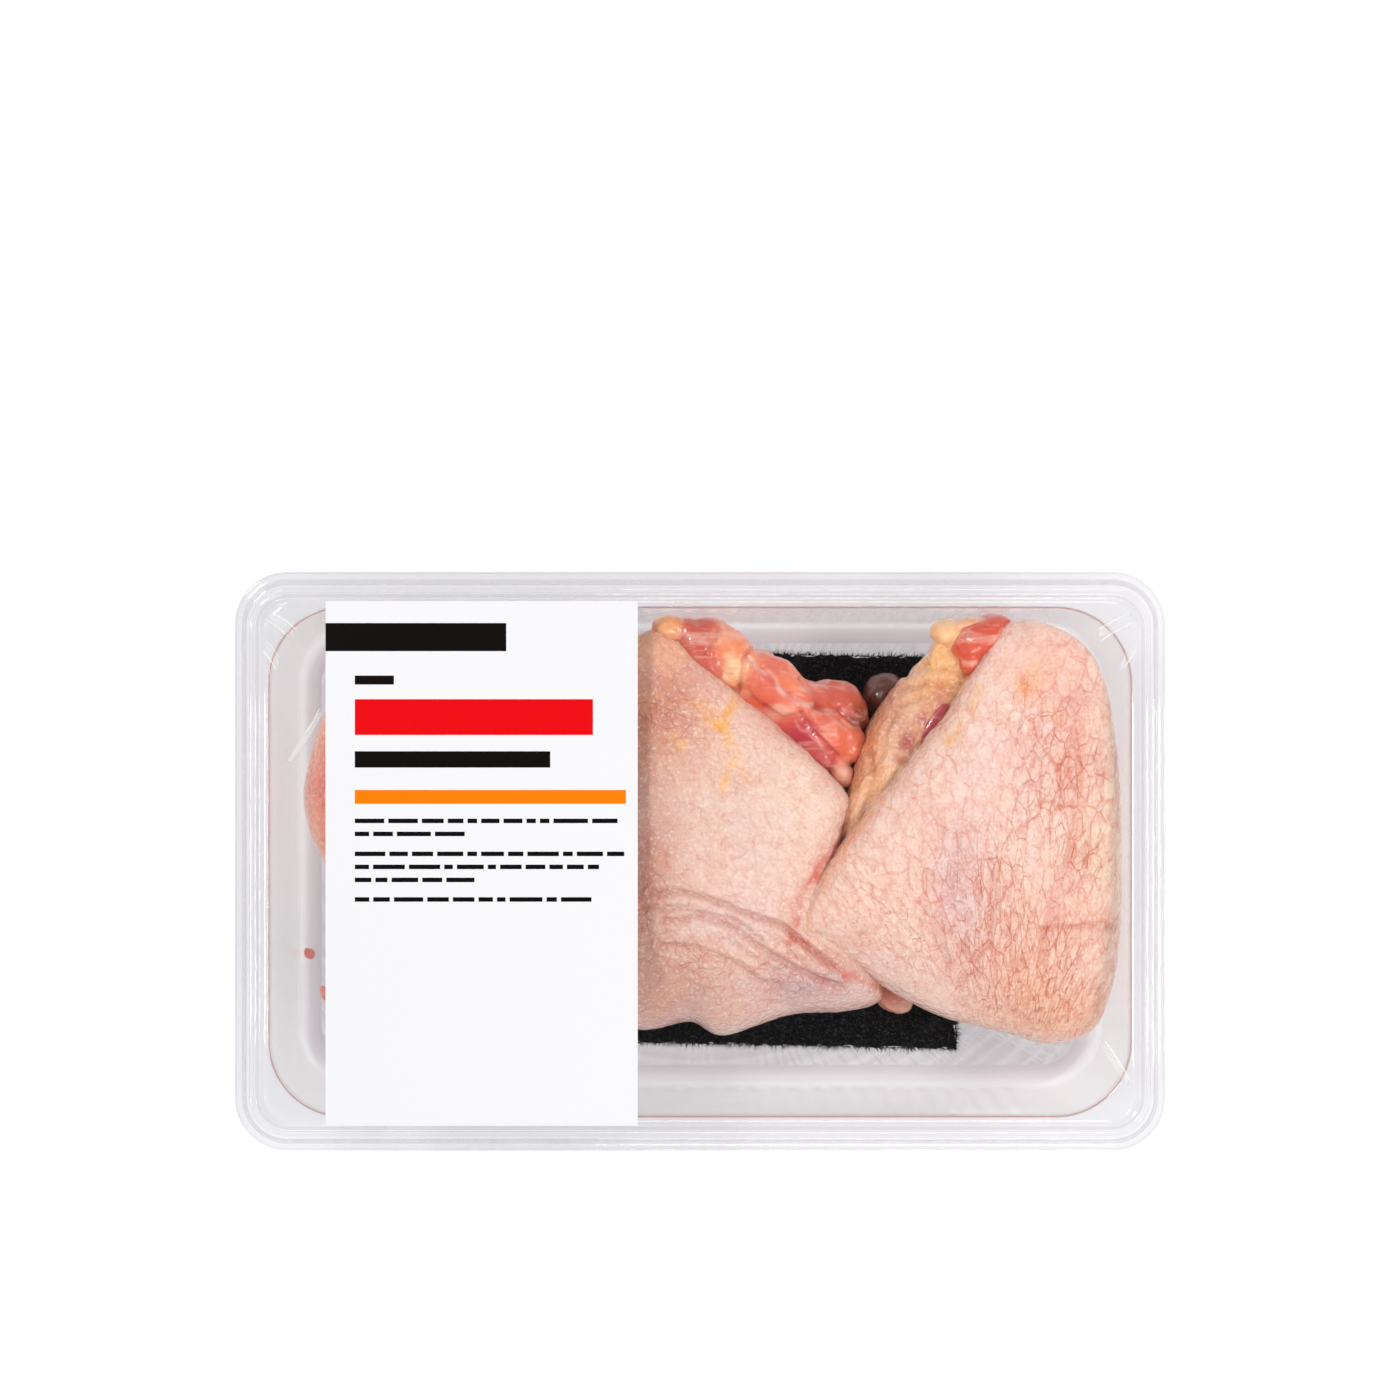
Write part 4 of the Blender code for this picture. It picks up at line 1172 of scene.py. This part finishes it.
middleMeat = {
    "bed": {
        "outline": (
            (-7.7, 56.3, 33), (-2.0, 60.0, 34), (4.0, 60.0, 34), (7.7, 56.8, 33), (11.8, 53.1, 32),
            (17.3, 51.6, 31), (25.4, 45.8, 27), (33.6, 42.3, 22), (40.3, 36.2, 18), (41.3, 30.9, 18),
            (38.2, 22.6, 21), (28.5, 22.2, 24), (12.3, 34.5, 28), (-4.0, 47.8, 31),
        ),
        "centre": (17.0, 42.0), "crown": 34.5, "base": thighBase, "roundness": 2.6,
    },
    # each lobe: centre, half sizes and turn, in millimetres and degrees, then its colour
    "lobes": (
        ((-7.4, 57.5, 36.5), (4.6, 3.2, 4.4), -12, "#ffb67c"),
        ((0.2, 52.2, 35.0), (9.4, 5.2, 7.0), -54, "#d6604f"),
        ((1.0, 57.4, 34.0), (5.6, 3.0, 5.6), 0, "#cf6355"),
        ((7.4, 51.2, 34.0), (10.5, 5.6, 7.0), -44, "#f89c72"),
        ((10.2, 47.2, 36.0), (4.6, 4.0, 4.6), -40, "#fcc391"),
        ((7.4, 45.4, 34.6), (3.4, 2.4, 3.8), -40, "#fbb98a"),
        ((20.0, 42.4, 31.5), (13.5, 6.5, 7.5), -40, "#ee7456"),
        ((27.4, 34.2, 28.5), (13.5, 5.6, 7.0), -36, "#ee765a"),
        ((36.2, 30.0, 26.5), (6.6, 4.8, 6.0), -50, "#e57e60"),
        # this lobe at the back is coloured darker, partly painted shade where it lies in shadow
        ((34.6, 38.0, 22.5), (8.6, 6.6, 7.5), -38, "#c45a42"),
        ((35.6, 21.2, 27.0), (3.4, 3.0, 3.4), -55, "#f6b596"),
        ((22.0, 33.2, 30.2), (8.0, 2.6, 3.6), -40, "#cf4650"),
        ((29.0, 27.0, 28.6), (7.0, 2.4, 3.4), -40, "#cc4b56"),
    ),
    "patches": (
        (0.4, 56.5, (4, 5), "#d4604f", 0.9), (7.8, 54.2, (5, 6), "#fa8f63", 0.9),
        (8.6, 48.1, (2.4, 3.4), "#ffd2a2", 0.95), (15.9, 45.0, (5, 4), "#f07c66", 0.8),
        (24.3, 44.2, (5, 4), "#fb8c62", 0.9), (32.8, 39.6, (6, 5), "#d85f48", 0.8),
        (33.6, 31.2, (5, 5), "#f07d5f", 0.9), (20.1, 37.0, (4, 2.4), "#ffc2aa", 0.9),
        (26.0, 31.6, (4.5, 4), "#c63a4e", 0.95), (30.5, 26.2, (3, 3), "#dc6a6c", 0.9),
        # the dark patch at (40.5, 35.0) is painted shade at the back of the meat
        (36.3, 21.2, (2.5, 3.5), "#f8c2ac", 0.9), (40.5, 35.0, (3, 4), "#8a3a28", 0.8),
    ),
    "folds": (
        (((9.7, 41.9), (10.5, 49.6), (12.8, 52.7)), 0.6, 0.5),
        (((12.1, 50.4), (18.2, 44.2), (22.8, 40.8), (29.0, 38.1)), 0.7, 1.0),
        (((25.1, 45.0), (29.0, 41.1), (30.1, 37.7)), 0.7, 0.9),
        (((29.0, 38.1), (35.1, 37.3), (39.0, 34.2)), 0.8, 1.2),
        (((25.1, 36.5), (29.0, 31.2), (34.3, 25.4)), 0.7, 1.0),
        (((15.9, 38.1), (20.5, 35.0), (25.1, 35.8)), 0.6, 0.8),
        (((4.4, 57.4), (3.6, 55.0), (1.3, 51.1)), 0.6, 0.4),
    ),
    "streaks": (
        (((13.0, 49.5), (19.0, 43.6), (23.5, 40.2), (30.0, 37.4), (35.0, 36.8)), 0.7, "#ffe0d2", 0.8),
        (((6.0, 58.0), (7.5, 52.0), (7.0, 46.0)), 0.8, "#ffd9b4", 0.6),
        (((24.0, 34.5), (28.0, 30.0), (33.0, 26.0)), 0.4, "#f9c0b4", 0.5),
        (((30.0, 33.8), (36.0, 33.0)), 0.4, "#ffd0bd", 0.5),
    ),
    "voxel": 0.45 * mm, "smooth": 5,
}

rightMeat = {
    "lobes": (
        ((70.2, 55.4, 35.7), (8.6, 5.0, 6.7), 25, "#e2583c"),
        ((74.0, 51.5, 34.0), (7.0, 4.0, 6.0), 50, "#e86c4a"),
        ((68.0, 50.5, 34.5), (5.0, 3.4, 5.5), 60, "#e0623f"),
        ((56.9, 32.6, 33.5), (13.4, 3.0, 4.4), 54, "#b84c54"),
        ((49.4, -35.4, 9.0), (5.2, 4.4, 5.0), -30, "#e0957c"),
        ((51.5, -37.5, 7.5), (3.6, 3.4, 4.0), 0, "#f0c6a4"),
    ),
    "voxel": 0.5 * mm, "smooth": 6,
}

flapLumps = {
    "lobes": (
        ((61.5, 57.0, 36.0), (4.4, 3.4, 4.8), 0, "#ffd09c"),
        ((64.0, 55.0, 35.0), (3.6, 3.0, 4.0), 40, "#ffc48c"),
        ((66.6, 58.9, 37.4), (6.0, 1.5, 2.6), 10, "#ffc4a4"),
        # the dark lobe low behind the flap is meat coloured dark, partly painted shade
        ((46.6, 41.0, 12.0), (6.0, 5.0, 7.5), 50, "#5e281a"),
    ),
    "voxel": 0.5 * mm, "smooth": 4,
}


# An ellipsoid's points: latitude and longitude on a ball, drawn out, turned and moved
def lobePoints(lobe, rows=40, columns=56):
    centre, halves, turn = lobe[:3]
    tilt = np.linspace(-np.pi / 2, np.pi / 2, rows)[:, None]
    around = np.linspace(0, 2 * np.pi, columns, endpoint=False)
    ball = np.stack(np.broadcast_arrays(
        np.cos(tilt) * np.cos(around), np.cos(tilt) * np.sin(around), np.sin(tilt)), axis=-1)
    drawn = ball * np.array(halves)
    return (turnAbout(drawn, -turn) + np.array(centre)) * mm


# How far inside or outside a lobe each point is, where 1 is its surface
def lobeReach(points, lobe):
    centre, halves, turn = lobe[:3]
    local = turnAbout(points / mm - np.array(centre), turn)
    return np.linalg.norm(local / np.array(halves), axis=-1)


# Fuses overlapping forms into one skin of small even faces, then eases the joints between them
def fuse(name, meshes, voxel, smooth):
    holder = bpy.data.objects.new("lobe", meshes[0])
    bpy.context.scene.collection.objects.link(holder)
    others = [bpy.data.objects.new("lobe", mesh) for mesh in meshes[1:]]
    for other in others:
        bpy.context.scene.collection.objects.link(other)
    bpy.ops.object.select_all(action="DESELECT")
    for item in [holder] + others:
        item.select_set(True)
    bpy.context.view_layer.objects.active = holder
    bpy.ops.object.join()
    remesh = holder.modifiers.new("fuse", "REMESH")
    remesh.mode = "VOXEL"
    remesh.voxel_size = voxel
    ease = holder.modifiers.new("ease", "SMOOTH")
    ease.factor = 0.5
    ease.iterations = smooth
    fused = bpy.data.meshes.new_from_object(
        holder.evaluated_get(bpy.context.evaluated_depsgraph_get()))
    bpy.data.objects.remove(holder, do_unlink=True)
    fused.name = name
    return fused


# Meat or fat from lobes: fused, roughened by noise along the normals, and coloured by the
# lobe that each point is nearest to
def makeLobes(name, group, material, slot, *nodes):
    meshes = [closedForm("lobe", lobePoints(lobe)) for lobe in group["lobes"]]
    if "bed" in group:
        meshes.append(closedForm("lobe", thighForm(group["bed"], 160, 60)[0]))
    mesh = fuse(name, meshes, group["voxel"], group["smooth"])
    points = readPoints(mesh, "co").astype(float)
    normals = readPoints(mesh, "normal")
    rough = 0.55 * latticeNoise(points, 5.5 * mm, 73) + 0.3 * latticeNoise(points, 2.6 * mm, 71)
    rough += 0.12 * latticeNoise(points, 1.2 * mm, 72)
    moved = points + normals * (rough * mm)[:, None]
    reaches = np.stack([lobeReach(points, lobe) for lobe in group["lobes"]], axis=-1)
    weights = np.exp(-7.0 * (reaches - reaches.min(axis=-1, keepdims=True)))
    weights /= weights.sum(axis=-1, keepdims=True)
    colours = np.array([fromHex(lobe[3]) for lobe in group["lobes"]])
    tones = weights @ colours
    flat = points[:, :2] + 0.8 * mm * noiseVector(points, 3 * mm, (74, 75))
    for x, y, radius, colour, strength in group.get("patches", ()):
        share = strength * np.clip(1.6 * np.exp(-planReach(flat, x, y, radius) ** 2) - 0.3, 0, 1)
        tones = tinted(tones, colour, share)
    for stations, width, drop in group.get("folds", ()):
        away = lineDistance(points, stations) / (width * mm)
        valley = np.exp(-away ** 2)
        moved -= normals * (valley * drop * mm)[:, None]
        # fold valleys darkened: painted shade
        tones *= 1 - 0.35 * valley[:, None] * np.array([0.4, 1.0, 0.9])
    mesh.vertices.foreach_set("co", moved.astype(np.float32).ravel())
    storeLayer(mesh, "tone", streakTones(tones, points, group.get("streaks", ())))
    mesh.shade_smooth()
    return addPiece(mesh, material, slot, *nodes)


# Specks of juice on the tray's floor: low drops with wavy outlines
juice = {
    "drops": ((-100.6, -25.7, 1.2, 1.7), (-96.9, -35.9, 1.1, 1.8)),
    "height": 0.35,
}


# A drop is a low flat dome with a wavering edge, lifted to lie on the curve at the wall's foot:
# the curve rises from the floor as a quarter circle does
def makeJuice(material):
    radius = tray["floorFillet"]
    rise = ledgeHeight - 0.5 * mm - tray["wall"] - radius
    flatEnd = mouthHalf[0] - rise * math.tan(tray["draft"]) - radius
    parts = []
    for number, (x, y, halfX, halfY) in enumerate(juice["drops"]):
        points = lobePoints(((x, y, tray["wall"] / mm), (halfX, halfY, juice["height"]), 20), 16, 32)
        push = 0.35 * latticeNoise(points, 1.5 * mm, 81 + number)[..., None]
        middle = np.array([x, y, 0]) * mm
        points[..., :2] += (points - middle)[..., :2] * push
        beyond = np.clip(np.abs(points[..., 0]) - flatEnd, 0, 0.95 * radius)
        points[..., 2] += radius - np.sqrt(radius ** 2 - beyond ** 2)
        parts.append(closedParts(points))
    mesh = joinParts("juiceDrops", parts)
    storeLayer(mesh, "tone", np.tile(fromHex("#ffae9f"), (len(mesh.vertices), 1)))
    return addPiece(mesh, material, "raw_meat")


# Setting

setting = {
    "cameraHeight": 0.95,       # above the rim
    "cameraY": 0.0398,          # straight over the photograph's middle
    "frameWidth": 0.3436,       # at the rim
    "sensor": 36.0,
    "floor": ("#cecece", "#d1d1d1"),
    "floorGlow": 0.55,          # a white table lit from below
    "glow": 0.72,               # of the studio's walls, with the dark place of the camera overhead
    "darkest": 0.03,
}

lights = (
    # name, place, size, power, colour
    ("keyLeft", (-0.52, 0.42, 0.95), 0.18, 4.3, "#ffffff"),
    ("fillRight", (0.70, -0.05, 0.80), 0.18, 3.6, "#fffdfa"),
    ("frontLow", (0.10, -0.70, 0.80), 0.30, 2.4, "#ffffff"),
)


# The floor, which glows a little; studio walls whose glow grows from the place overhead out to the
# sides, by the height of the direction; three square lamps that face the pack; and the camera,
# whose lens is the sensor's width times the distance over the width of the frame
def makeSetting():
    material, add, place = startMaterial("paintedFloor")
    grain = add("TexNoise", {"Vector": place, "Scale": 40.0})
    light, lighter = (fullColour(code) for code in setting["floor"])
    tint = add("Mix", {0: grain, 6: light, 7: lighter}, data_type="RGBA")
    shader = add("BsdfPrincipled", {
        "Base Color": tint, "Roughness": 0.9,
        "Emission Color": (1.0, 1.0, 1.0, 1.0), "Emission Strength": setting["floorGlow"],
    })
    add("OutputMaterial", {"Surface": shader})
    corners = np.array([(-3, -3, 0), (3, -3, 0), (3, 3, 0), (-3, 3, 0)], dtype=float)
    mesh = meshFrom("floor", corners, [np.array([(0, 1, 2, 3)])])
    mesh.materials.append(material)
    floor = bpy.data.objects.new("floor", mesh)
    bpy.context.scene.collection.objects.link(floor)
    world = bpy.data.worlds.new("studio")
    world.use_nodes = True
    sky = world.node_tree
    way = addNode(sky, "SeparateXYZ", {"Vector": addNode(sky, "TexCoord").outputs["Generated"]})
    glow = addNode(sky, "MapRange", {
        "Value": way.outputs["Z"], "From Min": 0.97, "From Max": 0.80,
        "To Min": setting["darkest"], "To Max": setting["glow"],
    })
    sky.nodes["Background"].inputs["Color"].default_value = (1.0, 1.0, 1.0, 1.0)
    sky.links.new(glow.outputs[0], sky.nodes["Background"].inputs["Strength"])
    bpy.context.scene.world = world
    for name, spot, size, power, colour in lights:
        lamp = bpy.data.lights.new(name, "AREA")
        lamp.shape = "SQUARE"
        lamp.size = size
        lamp.energy = power
        lamp.color = tuple(fromHex(colour))
        holder = bpy.data.objects.new(name, lamp)
        holder.location = spot
        aim = Vector((0.0, 0.0, 0.02)) - Vector(spot)
        holder.rotation_euler = aim.to_track_quat("-Z", "Y").to_euler()
        bpy.context.scene.collection.objects.link(holder)
    camera = bpy.data.objects.new("camera", bpy.data.cameras.new("camera"))
    camera.data.sensor_width = setting["sensor"]
    camera.data.lens = setting["sensor"] * setting["cameraHeight"] / setting["frameWidth"]
    camera.location = (0.0, setting["cameraY"], trayHeight + setting["cameraHeight"])
    bpy.context.scene.collection.objects.link(camera)
    bpy.context.scene.camera = camera
    bpy.context.scene.view_settings.view_transform = "Standard"


# Every material and piece in turn, then the setting
def main():
    print("materials")
    pet = clearPlastic("thermoformedPet", petLook)
    filmPlastic = clearPlastic("lidPolyethylene", filmLook)
    creased = clearPlastic("creaseGlintPolyethylene", creaseGlintLook)
    loose = wetSkin("yellowLooseSkin", dict(skinLook, blush="#c4703c", crease=(0.80, 0.45, 0.30, 1.0)))
    skin = wetSkin("rawChickenSkin", skinLook)
    meat = wetMeat("rawThighMuscle", meatLook)
    fat = softFat("chickenFat")
    paper = labelPaper("coatedLabelPaper")
    black = printInk("blackInk", "#0a0505", "#0e0808")
    red = printInk("redInk", "#e0050f", "#d8040c")
    orange = printInk("orangeInk", "#f37902", "#ee7601")
    felt = blackFelt("blackNonWovenFelt")
    print("tray, film and label")
    makeTray(pet)
    makeFilm(filmPlastic)
    makeCreases(creased, clearPlastic("swellSheenPolyethylene", swellSheenLook))
    makeRefractionLine(clearPlastic("refractionTintedPolyethylene", refractionLineLook))
    makeLabel(paper, black, red, orange)
    print("pad")
    makePad(felt)
    makeFibres(felt)
    print("thighs")
    makeSkin("thighMiddleSkin", middleForm, middleSkinLook, skin, "thigh_middle_skin")
    makeSkin("thighRightSkin", rightForm, rightSkinLook, skin, "thigh_right_skin")
    makeSkin("thighLeft", leftForm, leftSkinLook, skin, "thigh_left", 260, 100)
    flap = makeSkin("thighRightFlap", flapForm, flapLook, loose, "thigh_right_flap", 360, 130)
    makeLobes("thighMiddleMeat", middleMeat, meat, "raw_meat", "thigh_middle_meat")
    makeLobes("thighRightMeat", rightMeat, meat, "raw_meat", "thigh_right_meat")
    makeLobes("flapLumps", flapLumps, fat, "yellow_fat")
    makeJuice(meat)
    print("setting")
    makeSetting()


main()
